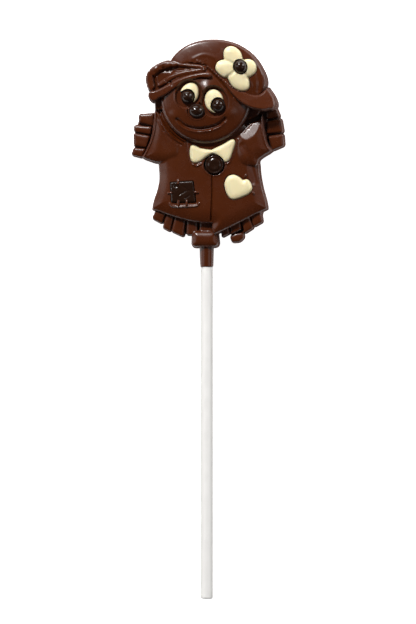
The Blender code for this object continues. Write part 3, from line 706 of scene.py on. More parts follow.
def chocolate(name, colour, cloudy, cloud, gloss, rub, glow=0.0):
    values = {"Colour": colour, "Cloudy Colour": cloudy, "Cloud": cloud, "Gloss": gloss, "Rub": rub}
    made, sockets = material_with(name, SURFACE, values, 0.35, 0.03 * MM)
    sockets["Specular IOR Level"].default_value = 0.45
    sockets["IOR"].default_value = 1.46
    if glow:
        sockets["Subsurface Weight"].default_value = glow
        sockets["Subsurface Radius"].default_value = (1.0, 0.7, 0.4)
        sockets["Subsurface Scale"].default_value = 0.6 * MM
    return made


MILK = chocolate("milk chocolate", (0.06, 0.0118, 0.0019), (0.075, 0.0175, 0.004), 0.35, 0.22, 0.1)
DARK = chocolate("dark chocolate", (0.015, 0.0048, 0.0018), (0.02, 0.0075, 0.0035), 0.35, 0.14, 0.1)
WHITE = chocolate("white chocolate", (0.75, 0.655, 0.4), (0.78, 0.695, 0.44), 0.5, 0.36, 0.12, 0.25)
print("materials:", [m.name for m in (MILK, DARK, WHITE)])

# %% [markdown]
# ## The hat
# The hat has a round crown, a brim that flares out on the right over the face, and on the left a part
# of the brim folded up. The fold shows its inside: a hollow with a rolled rim above it and two pleats
# below it. The upper edge of the brim runs up into the crown as a seam.

# %% Crown and brim
CROWN_FOOT = curve([
    (-14.6, 71.6), (-11.4, 76.8), (-6.0, 80.5), (2.0, 81.9), (9.9, 80.5), (16.4, 76.4),
    (20.4, 70.7), (21.6, 65.8), (19.2, 60.0), (9.5, 57.2), (-3.1, 60.0), (-12.1, 65.8),
])
BRIM = curve([
    (-3.7, 74.2), (-0.1, 75.5), (3.2, 74.8), (6.4, 72.3), (9.6, 67.6), (12.5, 63.5), (15.8, 61.7),
    (19.0, 61.6), (21.7, 63.1, 0), (23.0, 61.1), (23.9, 59.0), (23.8, 57.2, 0), (20.8, 56.5),
    (16.8, 57.1), (13.2, 58.7), (10.0, 61.5), (6.8, 65.4), (3.5, 69.0), (-0.1, 72.3),
])
HOLLOW = curve([
    (-0.2, 72.3), (-9.6, 72.8), (-16.8, 71.7), (-20.4, 68.7), (-19.3, 63.6), (-16.1, 63.3),
    (-10.3, 66.9), (-0.2, 69.2),
])
folded = Pocket(HOLLOW, 10.0, 0.0, WALL_RISE)
crown = Form(inset(CROWN_FOOT, 1.25), 13.2, drop=1.4, width=9, rounding=0.8, cut=folded)
brim = Form(BRIM, 13.3, slope=(-0.18, -0.3), rounding=0.6, rise=3)
crown_lines = [
    Line(stroke((-4.6, 74.7), (-1.5, 76.0), (1.2, 75.8), (3.4, 74.9)), -0.12, 1.0),
    Line(stroke((18.2, 70.8), (19.0, 66.5), (18.7, 63.2)), 0.25, 1.1),
    Line(stroke((16.5, 67.6), (17.1, 65.4), (16.8, 63.0)), 0.12, 0.9),
    Line(stroke((-0.6, 72.0), (3.2, 68.5), (6.5, 64.9), (9.8, 61.0)), 0.45, 0.55),
]
tell("crown", CROWN_FOOT)
tell("brim", BRIM)

# %% The folded part of the brim
ROLL = curve([
    (-0.1, 72.0), (-5.9, 73.0), (-13.8, 73.2), (-17.4, 72.0), (-20.2, 69.9), (-21.0, 68.0),
    (-20.6, 65.4), (-19.6, 63.5), (-18.5, 64.0), (-18.9, 66.5), (-18.9, 68.3), (-17.4, 69.8),
    (-14.5, 71.2), (-10.2, 71.8), (-5.2, 71.4), (-0.1, 70.8),
])
UPPER_PLEAT = curve([
    (-0.4, 71.1), (-5.8, 70.8), (-12.0, 69.2), (-15.2, 67.4), (-17.5, 65.0), (-14.8, 65.8),
    (-10.9, 67.9), (-5.1, 69.3), (-0.4, 69.8),
])
LOWER_PLEAT = curve([
    (1.4, 69.6), (-4.0, 69.2), (-9.4, 67.6), (-13.7, 65.4), (-17.3, 63.6), (-19.8, 62.4),
    (-19.8, 61.1), (-18.4, 60.1, 0), (-14.8, 61.8), (-10.8, 64.5), (-6.5, 66.7), (-2.2, 67.9),
    (1.8, 68.1),
])
LEAN = (0.1, 0.0)
flap = [
    Form(HOLLOW, 11.4, slope=LEAN, rounding=0.6),
    Form(ROLL, 12.7, slope=LEAN, rounding=0.7, rise=4),
    Form(UPPER_PLEAT, 12.9, slope=LEAN, rounding=0.6, rise=4),
    Form(LOWER_PLEAT, 13.9, slope=LEAN, rounding=0.6, rise=6),
]
flap_lines = [
    Bump(-0.6, 71.2, 1.6, 1.3, 0.5),
    Bump(-15.4, 71.3, 0.8, 0.9, -0.7),
    Bump(-12.6, 71.6, 0.7, 0.8, -0.6),
    Bump(-10.2, 71.9, 0.8, 0.8, -0.6),
    Bump(-7.4, 71.7, 0.7, 0.7, -0.5),
    Bump(-14.0, 72.4, 1.2, 0.8, 0.25),
    Bump(-11.3, 72.7, 1.2, 0.8, 0.25),
    Bump(-18.3, 71.0, 1.4, 1.2, 0.3),
    Line(stroke((-19.2, 68.6), (-18.8, 66.4), (-18.4, 64.6), (-19.3, 63.6)), 0.8, 0.45),
    Line(stroke((-18.0, 68.4), (-17.8, 66.6), (-17.4, 65.2)), -0.4, 0.45),
    Line([(-12.9, 66.6), (-12.4, 65.5)], 0.7, 0.5),
    Line([(-14.9, 67.6), (-14.5, 66.6)], 0.4, 0.4),
    Line(stroke((-16.8, 70.4), (-12.0, 70.5), (-6.0, 70.9)), 0.3, 0.6),
]
tell("folded hollow", HOLLOW)

# %% [markdown]
# ## The face
# The face is a shallow dome with a low swell on its forehead. The eyes stand in moats, the nose in a
# shallower one, each with a low rim round it. The smile is a groove with a welt below it, and it ends in
# a small cheek on each side. A tuft of straw hair shows beside each cheek, under the hat.

# %% Face, moats, smile and hair
FACE_RADIUS = 16.2
EYE_FLOOR, NOSE_FLOOR, MOAT_RISE = 11.9, 12.7, 2.2
MOATS = (
    (-6.5, 61.9, 4.8, 4.15, 62, EYE_FLOOR),
    (3.1, 59.2, 5.1, 4.3, 100, EYE_FLOOR),
    (-3.4, 56.0, 3.2, 2.8, -10, NOSE_FLOOR),
)
SMILE = stroke((-10.5, 52.9), (-7.6, 50.6), (-3.6, 49.5), (0.7, 49.8), (4.3, 51.0), (6.8, 53.1))
face_outline = ellipse(-0.26, 60.48, FACE_RADIUS, FACE_RADIUS)
face = Form(face_outline, 14.2, drop=3.0, width=FACE_RADIUS, rounding=1.7)
moats = [Pocket(ellipse(*around), floor, 0.0, MOAT_RISE) for *around, floor in MOATS]
moat_rims = [
    Line(ellipse(x, y, half_x + 0.3, half_y + 0.3, turn), -0.2, 0.5, closed=True)
    for x, y, half_x, half_y, turn, _ in MOATS
]
face_lines = [
    Line(SMILE, 0.9, 0.9),
    Line(SMILE + [0, -1.1], -0.2, 0.6),
    Bump(0.7, 63.2, 4.2, 4.8, 0.72),
    Bump(8.4, 55.2, 3.2, 3.0, 0.3),
    Bump(-11.4, 54.4, 2.8, 2.6, 0.2),
    *moat_rims,
]
hair = [
    Form(tile([(-18.5, 60.4), (-15.0, 60.8), (-15.0, 56.6), (-18.2, 56.8)]), 9.8),
    Form(tile([(12.5, 57.6), (19.9, 57.2), (18.4, 54.6), (15.6, 53.0), (12.5, 52.0)]), 9.0),
]
tell("face", face_outline)

# %% [markdown]
# ## The coat
# The coat is one swelling form, lower at the sides than in the middle. Its front edge is a groove that
# ends in a point below the hem, and the neckline is two welts with a groove between. The sleeves are
# thicker than the coat and end in a rolled cuff. The right one has a flat facet below the shoulder that
# mirrors the light, with a few brush marks across it.

# %% Coat and sleeves
COAT = curve([
    (-17.2, 50.0), (-8.0, 56.0), (6.0, 56.0), (15.0, 50.0), (18.0, 38.4), (18.5, 33.4),
    (19.4, 28.4), (20.8, 23.3), (21.2, 21.0, 0), (15.5, 17.9), (8.3, 14.3), (2.6, 11.8, 0),
    (1.9, 13.6), (2.0, 15.6, 0), (-2.6, 15.9), (-8.3, 17.0), (-14.8, 19.0), (-19.5, 20.9, 0),
    (-18.9, 23.7), (-17.6, 27.6), (-16.8, 31.6), (-16.9, 35.0), (-18.0, 42.0),
])
LEFT_SLEEVE = curve([
    (-18.4, 56.6, 0), (-14.8, 55.7), (-9.7, 47.1), (-9.0, 39.9), (-14.0, 37.4), (-18.0, 37.9),
    (-21.1, 38.9), (-23.3, 39.7, 0), (-22.0, 42.0), (-20.5, 45.6), (-19.7, 49.2), (-19.2, 53.2),
])
RIGHT_SLEEVE = curve([
    (11.2, 46.7), (13.1, 49.1), (15.3, 51.2), (17.6, 52.1), (19.4, 53.5), (19.9, 55.2, 0),
    (20.3, 51.8), (21.0, 47.8), (21.8, 44.6), (23.1, 42.0, 0), (20.5, 40.6), (18.2, 38.8),
    (17.3, 36.3), (11.9, 37.7),
])
coat = Form(COAT, 9.1, drop=1.4, width=5.0, rounding=0.6, barrel=0.003)
facet = Facet(15.6, 51.5, 8.15, 0.12, -0.28)
sleeves = [
    Form(LEFT_SLEEVE, 9.0, slope=(0.06, 0.0), drop=1.4, width=4.0, rounding=0.6),
    Form(RIGHT_SLEEVE, 9.6, slope=(-0.06, 0.0), drop=1.3, width=4.5, rounding=0.6, cut=facet),
]
tell("coat", COAT)

# %% Neckline, cuffs and folds of the coat
BRUSHED = ((14.6, 49.6), (15.9, 50.9), (16.7, 52.0), (18.4, 52.9))
NECKLINE = stroke((-16.4, 56.1), (-15.1, 52.8), (-12.7, 49.2), (-10.0, 46.7), (-7.5, 45.2))
LEFT_CUFF = stroke((-18.6, 55.2), (-18.7, 51.0), (-19.6, 46.4), (-21.4, 42.2), (-22.4, 40.2))
RIGHT_CUFF = stroke((19.6, 54.0), (20.0, 49.6), (21.0, 45.0), (22.3, 42.2))
coat_lines = [
    Line(stroke((1.9, 33.2), (1.9, 25.8), (1.5, 16.6)), 0.75, 0.45),
    Line(NECKLINE + [-0.1, -0.1], -0.4, 0.4),
    Line(NECKLINE + [-0.65, -0.5], 0.45, 0.35),
    Line(NECKLINE + [-1.2, -0.95], -0.35, 0.4),
    Line(NECKLINE + [-1.8, -1.45], 0.2, 0.4),
    Line(LEFT_CUFF, -0.6, 0.5),
    Line(RIGHT_CUFF, -0.5, 0.5),
    Line(stroke((13.0, 43.6), (15.0, 40.2), (16.2, 34.8), (17.3, 30.5)), 0.4, 1.6),
    *[Line([(x, y), (x - 0.9, y - 1.3)], 0.06, 0.24) for x, y in BRUSHED],
    Line(stroke((-17.2, 53.4), (-15.9, 50.9), (-15.4, 48.6)), 0.15, 0.5),
    Line(stroke((-7.2, 45.0), (-6.9, 41.6), (-6.3, 38.2)), 0.15, 0.5),
]

# %% [markdown]
# ## Straw
# Straw sticks out of the sleeves as hands and hangs out under the hem. Each bundle is a short bar with
# soft edges; all bars are made the same way from their four corners. The plug below the coat holds the
# stick, one loose end of straw lies beside it, and a lower form behind everything joins the bundles.

# %% Hands and skirt
def straw(corners, top, lean=0.0):
    return Form(tile(corners), top, slope=(lean, 0.0), drop=0.3, width=1.4, rounding=0.5)


HANDS = (
    ((-24.4, 54.6), (-19.2, 54.9), (-19.5, 50.6), (-24.5, 52.1)),
    ((-26.2, 50.7), (-19.9, 50.3), (-20.5, 47.6), (-26.1, 48.8)),
    ((-26.3, 48.0), (-20.6, 47.0), (-21.9, 42.9), (-26.2, 43.6)),
    ((-26.3, 42.8), (-22.1, 42.4), (-23.6, 39.7), (-27.0, 40.6)),
    ((21.3, 56.8), (24.7, 56.7), (25.9, 53.9), (21.3, 53.2)),
    ((21.4, 52.0), (26.3, 53.1), (27.1, 48.5), (21.7, 48.0)),
    ((22.1, 46.9), (27.1, 47.6), (27.3, 43.8), (23.6, 42.2)),
)
SKIRT = (
    ((-18.4, 20.6), (-14.8, 19.4), (-16.5, 15.8), (-19.7, 17.6)),
    ((-14.5, 19.2), (-12.0, 18.5), (-13.5, 12.9), (-15.9, 14.3)),
    ((-11.6, 18.3), (-7.8, 17.4), (-8.8, 11.1), (-12.8, 12.9)),
    ((-7.3, 17.4), (-3.5, 16.7), (-3.6, 11.6), (-7.3, 11.6)),
    ((-2.8, 16.7), (2.0, 16.1), (2.3, 11.4), (-2.9, 11.6)),
    ((5.0, 14.6), (7.5, 15.8), (8.0, 12.2), (5.4, 10.9)),
    ((8.0, 15.8), (11.7, 17.6), (12.3, 13.5), (8.5, 11.7)),
    ((11.9, 17.8), (14.9, 19.0), (16.4, 14.1), (13.5, 12.2)),
    ((15.2, 19.2), (19.0, 20.8), (19.7, 16.3), (16.8, 14.6)),
)
hands = [straw(corners, 6.8, 0.1 if corners[0][0] < 0 else -0.1) for corners in HANDS]
skirt = [straw(corners, 5.8) for corners in SKIRT]
print("straw bundles:", len(hands), "in the hands,", len(skirt), "in the skirt")

# %% Plug, loose straw and what lies behind
PLUG = [(-5.3, 13.0), (3.4, 13.0), (3.9, 7.4), (-5.6, 7.3)]
plug = Form(tile(PLUG, 1.6), 6.9, drop=1.1, width=2.6, rounding=0.8)
LOOSE = [(8.3, 11.0), (10.1, 12.2), (12.8, 12.4), (13.1, 10.6), (11.6, 9.1), (9.1, 8.9)]
loose = Form(tile(LOOSE, 0.7), 4.8, drop=0.4, width=1.2)
BACKING = [
    (-24.0, 54.2), (-25.4, 50.8), (-25.7, 44.0), (-26.0, 41.2), (-23.2, 40.6), (-20.0, 39.6),
    (-16.5, 38.4), (-16.2, 34.0), (-16.4, 31.0), (-18.5, 22.0), (-18.9, 17.9), (-16.3, 16.4),
    (-15.3, 15.0), (-13.8, 13.6), (-12.4, 13.6), (-9.2, 11.9), (-7.2, 12.3), (-3.2, 12.2),
    (2.1, 12.3), (4.6, 14.4), (5.9, 11.9), (8.3, 12.7), (12.0, 14.0), (13.7, 13.1), (16.1, 14.8),
    (16.9, 15.5), (19.1, 16.8), (20.3, 21.4), (19.6, 23.0), (17.8, 32.0), (17.2, 38.6),
    (20.0, 41.2), (22.6, 42.8), (24.2, 42.8), (26.7, 44.4), (26.4, 48.2), (25.3, 53.4),
    (24.0, 56.0), (21.5, 57.5), (20.5, 62.0), (10.0, 75.0), (-5.0, 75.0), (-16.0, 68.0),
    (-18.0, 61.0), (-17.6, 57.0), (-18.3, 55.6), (-21.0, 54.4),
]
backing = Form(tile(BACKING, 0.3), 3.2, rounding=0.3)
tell("backing", backing.loop)
SHOULDER = [(8.0, 45.0), (12.0, 56.0), (19.0, 57.5), (22.0, 57.0), (21.4, 44.0)]
shoulder = Form(tile(SHOULDER, 0.5), 5.6)

# %% [markdown]
# ## The inlays' outlines
# Flower, bow, heart and patch each have one outline, used twice: for the recess in the milk chocolate
# and for the piece that sits in it. The eyes, nose and button are ellipses. Beside the left pupil the
# white is missing, so a second circle is cut from that eye. Round the patch and the bow, chocolate
# swelled into low welts.

# %% Outlines of the flower, bow, heart and patch
NOTCHES = ((13.3, 74.3, 0), (15.2, 67.8, 0), (7.6, 68.0, 0), (6.5, 74.4, 0))
FLOWER = curve([
    NOTCHES[0], (15.1, 74.6), (16.8, 74.0), (17.9, 72.5), (18.1, 70.8), (17.1, 69.0),
    NOTCHES[1], (15.7, 66.2), (15.6, 64.4), (14.4, 63.2), (12.2, 63.1), (9.6, 64.5),
    NOTCHES[2], (6.4, 67.9), (4.4, 69.4), (3.4, 71.2), (3.9, 73.2), (5.1, 74.1),
    NOTCHES[3], (6.3, 77.2), (7.2, 78.6), (8.9, 79.2), (10.9, 78.5), (12.4, 76.9),
])
BOW = curve([
    (-5.3, 43.7), (-2.1, 42.6), (1.7, 42.0, 0), (5.5, 43.9), (9.1, 45.9), (10.2, 44.9), (9.4, 41.7),
    (8.2, 38.6), (6.7, 37.6), (4.8, 39.1), (2.4, 40.6), (-0.1, 39.5), (-2.6, 37.7), (-4.8, 37.4),
    (-5.8, 38.8), (-6.1, 42.0),
])
HEART = curve([
    (13.0, 31.2, 0), (11.4, 32.5), (9.4, 33.2), (7.4, 32.4), (6.3, 30.0), (6.9, 26.9), (8.3, 24.6),
    (9.8, 24.1), (13.0, 25.1), (15.6, 26.7), (16.3, 28.6), (15.2, 31.0), (14.1, 31.5),
])
PATCH = tile([(-13.2, 30.4), (-4.9, 30.9), (-3.9, 23.1), (-12.8, 23.1)], 0.5)
for what, loop in (("flower", FLOWER), ("bow", BOW), ("heart", HEART), ("patch", PATCH)):
    tell(what, loop)

# %% Outlines of the round inlays
BUTTON_AT = (2.73, 36.72)
BUTTON = ellipse(*BUTTON_AT, 3.31, 3.38)
FLOWER_CENTRE = ellipse(12.33, 71.82, 2.38, 2.63, 25)
EYE_LEFT = ellipse(-6.05, 62.21, 3.96, 3.17, 62)
EYE_RIGHT = ellipse(2.84, 59.51, 4.18, 3.28, 100)
NO_WHITE_LEFT = ellipse(-7.7, 60.0, 3.0, 3.0)
PUPIL_LEFT = ellipse(-6.67, 61.13, 2.38, 2.38)
PUPIL_RIGHT = ellipse(4.34, 57.96, 2.38, 2.52)
NOSE = ellipse(-3.4, 56.0, 2.8, 2.4, -10)

# %% Recesses, and the welts beside them
FLOWER_FLOOR, CENTRE_FLOOR, BUTTON_FLOOR = 10.9, 12.2, 7.2
BOW_FLOOR, HEART_FLOOR, PATCH_FLOOR, PATCH_TOP = 7.6, 7.1, 7.4, 9.2
recesses = [
    Pocket(FLOWER, FLOWER_FLOOR),
    Pocket(FLOWER_CENTRE, CENTRE_FLOOR),
    Pocket(BUTTON, BUTTON_FLOOR, 0.35),
    Pocket(BOW, BOW_FLOOR),
    Pocket(HEART, HEART_FLOOR),
    Pocket(PATCH, PATCH_FLOOR),
]
UNDER_PATCH = stroke(
    (-13.4, 22.6), (-12.6, 21.9), (-10.8, 21.6), (-6.0, 21.7), (-3.4, 22.0), (-2.8, 22.8),
)
recess_lines = [
    Line(ellipse(*BUTTON_AT, 4.1, 4.1), -0.15, 0.4, closed=True),
    Line(UNDER_PATCH, -0.4, 0.5),
    Line(stroke((-4.8, 36.8), (-3.6, 36.3), (-2.0, 37.0)), -0.35, 0.5),
    Line(stroke((6.6, 36.9), (8.0, 37.4), (9.0, 39.2), (10.2, 42.6), (11.3, 46.0)), -0.25, 0.5),
]
print("recesses:", len(moats) + len(recesses))

# %% [markdown]
# ## The figure in milk chocolate
# Everything above is now one height for each spot, and one skin is drawn over it. Where shapes meet
# there is no seam, as there is none in chocolate poured in one go.

# %% Build the figure
def finish(piece, node=None):
    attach(piece, "root")
    if node:
        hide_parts(node)


hat_and_face = [crown, brim, *flap, face, *hair]
clothes = [coat, *sleeves, *hands, *skirt, plug, loose]
figure_forms = [*hat_and_face, *clothes, backing, shoulder]
reach_out(figure_forms)
figure_relief = Relief(
    figure_forms,
    [*crown_lines, *flap_lines, *face_lines, *coat_lines, *recess_lines],
    [*moats, *recesses],
)
figure = relief_object("milk_figure", figure_relief)
figure.data.materials.append(MILK)
finish(figure, "body")

# %% [markdown]
# ## The inlays
# Each inlay stands on its recess's floor. White and dark chocolate were piped in first and so took the
# mould's shape in front, with softly rounded edges.

# %% White pieces
INLAY_GAP, CUT_GAP = 0.05, 0.1


def inlay(name, form, floor, material, node, cuts=(), lines=()):
    form.rise = POCKET_RISE
    relief = Relief([form], lines, cuts, base=floor + INLAY_GAP)
    made = relief_object(name, relief, 0.8 * SPACING, 0.9 * FILL, grid=0.08)
    made.data.materials.append(material)
    finish(made, node)


def white(name, node, form, floor, cuts=(), lines=()):
    around = [Pocket(loop, low, CUT_GAP) for loop, low in cuts]
    inlay(name, form, floor, WHITE, node, around, lines)


creases = []
for notch in NOTCHES:
    spot = np.array(notch[:2])
    creases.append(Line([spot, 0.45 * spot + 0.55 * FLOWER_CENTRE.mean(0)], 0.3, 0.9))
flower_form = Form(FLOWER, 14.0, slope=(-0.08, 0), drop=0.9, width=2.8, rounding=0.7)
white("white_flower", "flower", flower_form, FLOWER_FLOOR, [(FLOWER_CENTRE, CENTRE_FLOOR)], creases)
PUPIL_CUT, BUTTON_CUT = 10.9, 6.6
for side, outline, bare in (
    ("left", EYE_LEFT, (PUPIL_LEFT, NO_WHITE_LEFT)),
    ("right", EYE_RIGHT, (PUPIL_RIGHT,)),
):
    form = Form(outline, 14.0, drop=0.6, width=2.5, rounding=0.6)
    cuts = [(loop, PUPIL_CUT) for loop in bare]
    white("white_eye_" + side, "eye_white_" + side, form, EYE_FLOOR, cuts)
bow_form = Form(BOW, 9.9, drop=0.5, width=1.8, rounding=0.6)
white("white_bow", "bow", bow_form, BOW_FLOOR, [(BUTTON, BUTTON_CUT)])
heart_form = Form(HEART, 9.4, drop=0.7, width=2.2, rounding=0.6)
white("white_heart", "heart", heart_form, HEART_FLOOR)

# %% [markdown]
# Pupils, nose and the flower's centre are small domes. The button has a raised rim round a shallow
# dish. The patch is flat, with a few scratches and a worn dip.

# %% Dark pieces
def dark(node, form, floor, lines=()):
    inlay("dark_" + node, form, floor, DARK, node, lines=lines)


for node, outline, floor, top, drop, width in (
    ("pupil_left", PUPIL_LEFT, EYE_FLOOR, 15.0, 1.5, 2.4),
    ("pupil_right", PUPIL_RIGHT, EYE_FLOOR, 15.0, 1.5, 2.4),
    ("nose", NOSE, NOSE_FLOOR, 15.4, 1.5, 2.6),
    ("flower_centre", FLOWER_CENTRE, CENTRE_FLOOR, 15.4, 1.6, 2.5),
):
    dark(node, Form(outline, top, drop=drop, width=width, rounding=0.9), floor)
dish = [
    Line(ellipse(*BUTTON_AT, 2.45, 2.45), 0.3, 0.7, closed=True),
    Bump(2.73, 36.5, 1.7, 1.7, -0.2),
]
dark("button", Form(BUTTON, 9.7, drop=0.35, width=1.2, rounding=0.5), BUTTON_FLOOR, dish)
SCRATCHES = (
    ((-12.6, 29.6), (-10.9, 27.6)),
    ((-12.0, 29.9), (-10.2, 28.2)),
    ((-12.8, 28.4), (-11.6, 27.0)),
    ((-8.6, 28.9), (-6.4, 27.4)),
    ((-9.6, 25.9), (-7.4, 27.2)),
    ((-11.6, 30.0), (-9.9, 29.4)),
    ((-12.7, 27.2), (-12.0, 26.0)),
    ((-7.6, 24.6), (-6.2, 25.6)),
)
worn = [*[Line(pair, 0.12, 0.2) for pair in SCRATCHES], Bump(-11.4, 28.9, 1.4, 1.1, -0.3)]
patch_form = Form(PATCH, PATCH_TOP, slope=(0.03, 0.0), drop=0.25, width=0.9, rounding=0.4)
dark("patch", patch_form, PATCH_FLOOR, worn)

# %% [markdown]
# ## The chocolate sleeve on the stick
# Milk chocolate ran a little way down the stick and set there as a tapered sleeve with a rounded lip.
# It is turned from a few radii along the stick's axis.

# %% A tapered bar
def turned_bar(name, rings, axis, sides=96):
    """A bar along y from rings of (y, radius), closed at both ends."""
    mesh = bmesh.new()
    rows = []
    for y, radius in rings:
        circle = ellipse(*axis, radius, radius, steps=sides)
        rows.append([mesh.verts.new(placed(x, y, z)) for x, z in circle])
    for here, there in zip(rows, rows[1:]):
        for i in range(sides):
            mesh.faces.new((here[i], here[i - 1], there[i - 1], there[i]))
    mesh.faces.new(rows[0])
    mesh.faces.new(rows[-1])
    bmesh.ops.recalc_face_normals(mesh, faces=mesh.faces)
    data = bpy.data.meshes.new(name)
    mesh.to_mesh(data)
    mesh.free()
    data.shade_smooth()
    data.set_sharp_from_angle(angle=math.radians(40))
    return in_scene(name, data)


STICK_AXIS = (-0.35, 2.65)
SLEEVE_RINGS = [(0.0, 2.2), (0.0, 2.34), (0.1, 2.41), (0.35, 2.42), (4.0, 2.5), (9.5, 2.64)]
sleeve = turned_bar("milk_sleeve", SLEEVE_RINGS, STICK_AXIS)
sleeve.data.materials.append(MILK)
finish(sleeve)
print("sleeve of chocolate on the stick:", len(sleeve.data.polygons), "faces")

# %% [markdown]
# ## Stitches and the seam of the brim
# The mould maker carved stitches round the patch and the heart, and a row of small beads along the
# brim's upper edge. Both are one shape set down again and again along lines, so Geometry Nodes make
# them: each line becomes a bar that arches up in its middle, no two quite alike.

# %% Geometry Nodes helpers
def geometry_tree(name, sockets):
    tree = bpy.data.node_groups.new(name, "GeometryNodeTree")
    tree.interface.new_socket("Geometry", in_out="INPUT", socket_type="NodeSocketGeometry")
    for label, kind, default in sockets:
        socket = tree.interface.new_socket(label, in_out="INPUT", socket_type=kind)
        if default is not None:
            socket.default_value = default
    tree.interface.new_socket("Geometry", in_out="OUTPUT", socket_type="NodeSocketGeometry")
    return tree, tree.nodes.new("NodeGroupInput").outputs, tree.nodes.new("NodeGroupOutput").inputs


def step(tree, kind, inputs=(), **settings):
    """Adds a node, sets it up and joins its inputs, given by name or number."""
    made = tree.nodes.new(kind)
    for key, value in settings.items():
        setattr(made, key, value)
    for key, value in dict(inputs).items():
        if isinstance(value, bpy.types.NodeSocket):
            tree.links.new(value, made.inputs[key])
        else:
            made.inputs[key].default_value = value
    return made


def grown(name, source, tree, values):
    """Runs a tree on a source mesh and keeps what it makes as a plain mesh."""
    holder = in_scene(name, source)
    modifier = holder.modifiers.new("grow", "NODES")
    modifier.node_group = tree
    for item in tree.interface.items_tree:
        if item.item_type == "SOCKET" and item.in_out == "INPUT" and item.name in values:
            modifier[item.identifier] = values[item.name]
    graph = bpy.context.evaluated_depsgraph_get()
    mesh = bpy.data.meshes.new_from_object(holder.evaluated_get(graph))
    bpy.data.objects.remove(holder)
    mesh.name = name
    print(f"{name}: {len(mesh.vertices)} points")
    return in_scene(name, mesh)


def line_mesh(name, paths):
    """Lines through drawing points, as a mesh of edges."""
    verts, edges = [], []
    for path in paths:
        start = len(verts)
        verts += [placed(*spot) for spot in path]
        edges += [(k, k + 1) for k in range(start, len(verts) - 1)]
    mesh = bpy.data.meshes.new(name)
    mesh.from_pydata(verts, edges, [])
    return mesh


# %% What the trees share
def swept(tree, path, size, sides, material, result):
    """Ends a tree with a round bar along a path, as thick as size says at each point."""
    profile = step(tree, "GeometryNodeCurvePrimitiveCircle", {"Resolution": sides, "Radius": 1.0})
    sized = step(tree, "GeometryNodeSetCurveRadius", {"Curve": path.outputs[0], "Radius": size})
    bar = step(tree, "GeometryNodeCurveToMesh", {
        "Curve": sized.outputs[0], "Profile Curve": profile.outputs[0], "Scale": size, "Fill Caps": True,
    })
    smooth = step(tree, "GeometryNodeSetShadeSmooth", {0: bar.outputs[0]})
    kept = step(tree, "GeometryNodeRealizeInstances", {0: smooth.outputs[0]})
    given = {"Geometry": kept.outputs[0], "Material": material}
    made = step(tree, "GeometryNodeSetMaterial", given)
    tree.links.new(made.outputs[0], result[0])


def random_per_line(tree, low, high, seed, offset):
    index = step(tree, "GeometryNodeInputIndex").outputs[0]
    by_line = step(tree, "GeometryNodeFieldOnDomain", {0: index}, domain="CURVE", data_type="INT")
    made = step(tree, "FunctionNodeRandomValue", data_type="FLOAT")
    made.inputs["Min"].default_value = low
    made.inputs["Max"].default_value = high
    usable = [socket for socket in made.inputs if socket.enabled and socket.name in ("ID", "Seed")]
    tree.links.new(by_line.outputs[0], usable[0])
    tree.links.new(math_node(tree, "ADD", seed, offset), usable[1])
    return next(socket for socket in made.outputs if socket.enabled)


# %% The stitches
def stitch_tree():
    tree, given, result = geometry_tree(
        "stitches",
        [
            ("Radius", "NodeSocketFloat", 0.4 * MM),
            ("Arch", "NodeSocketFloat", 0.3 * MM),
            ("Seed", "NodeSocketInt", 1),
            ("Material", "NodeSocketMaterial", None),
        ],
    )
    lines = step(tree, "GeometryNodeMeshToCurve", {0: given["Geometry"]})
    even = step(tree, "GeometryNodeResampleCurve", {"Curve": lines.outputs[0], "Count": 13})
    along = step(tree, "GeometryNodeSplineParameter").outputs["Factor"]
    square = math_node(tree, "POWER", math_node(tree, "MULTIPLY_ADD", along, 2.0, -1.0), 2.0)
    arch = math_node(tree, "MULTIPLY", math_node(tree, "SUBTRACT", 1.0, square), given["Arch"])
    lift = math_node(tree, "MULTIPLY", arch, random_per_line(tree, 0.7, 1.25, given["Seed"], 3))
    up = step(tree, "ShaderNodeCombineXYZ", {"Z": lift}).outputs[0]
    raised = step(tree, "GeometryNodeSetPosition", {"Geometry": even.outputs[0], "Offset": up})
    blunt = math_node(tree, "SUBTRACT", 1.02, math_node(tree, "POWER", square, 3.0))
    taper = math_node(tree, "POWER", blunt, 0.4)
    width = math_node(tree, "MULTIPLY", taper, random_per_line(tree, 0.85, 1.15, given["Seed"], 8))
    size = math_node(tree, "MULTIPLY", width, given["Radius"])
    swept(tree, raised, size, 16, given["Material"], result)
    return tree


STITCHES = (
    ((-10.35, 31.7), (-10.3, 29.5)),
    ((-14.3, 26.55), (-12.4, 26.6)),
    ((-4.6, 26.8), (-2.9, 26.7)),
    ((-10.2, 24.0), (-10.2, 21.4)),
    ((-7.2, 24.2), (-7.2, 21.5)),
    ((13.5, 32.1), (14.3, 33.4)),
    ((16.4, 28.8), (17.5, 29.4)),
    ((16.5, 26.9), (16.9, 26.1)),
)
STITCH_SUNK, BEAD_SUNK = 0.12, 0.2


def on_surface(spots, sunk):
    """The spots with their height on the figure or the patch, whichever is higher, less a little."""
    spots = np.array(spots, float)
    patch_height = np.where(is_inside(PATCH, spots), PATCH_TOP, 0.0)
    height = np.maximum(figure_relief.height(spots), patch_height)
    return [(x, y, z - sunk) for (x, y), z in zip(spots, height)]


STITCH_TREE = stitch_tree()
thread = line_mesh("stitch lines", [on_surface(pair, STITCH_SUNK) for pair in STITCHES])
stitch = {"Radius": 0.42 * MM, "Arch": 0.22 * MM, "Seed": 4, "Material": MILK}
finish(grown("milk_stitches", thread, STITCH_TREE, stitch))

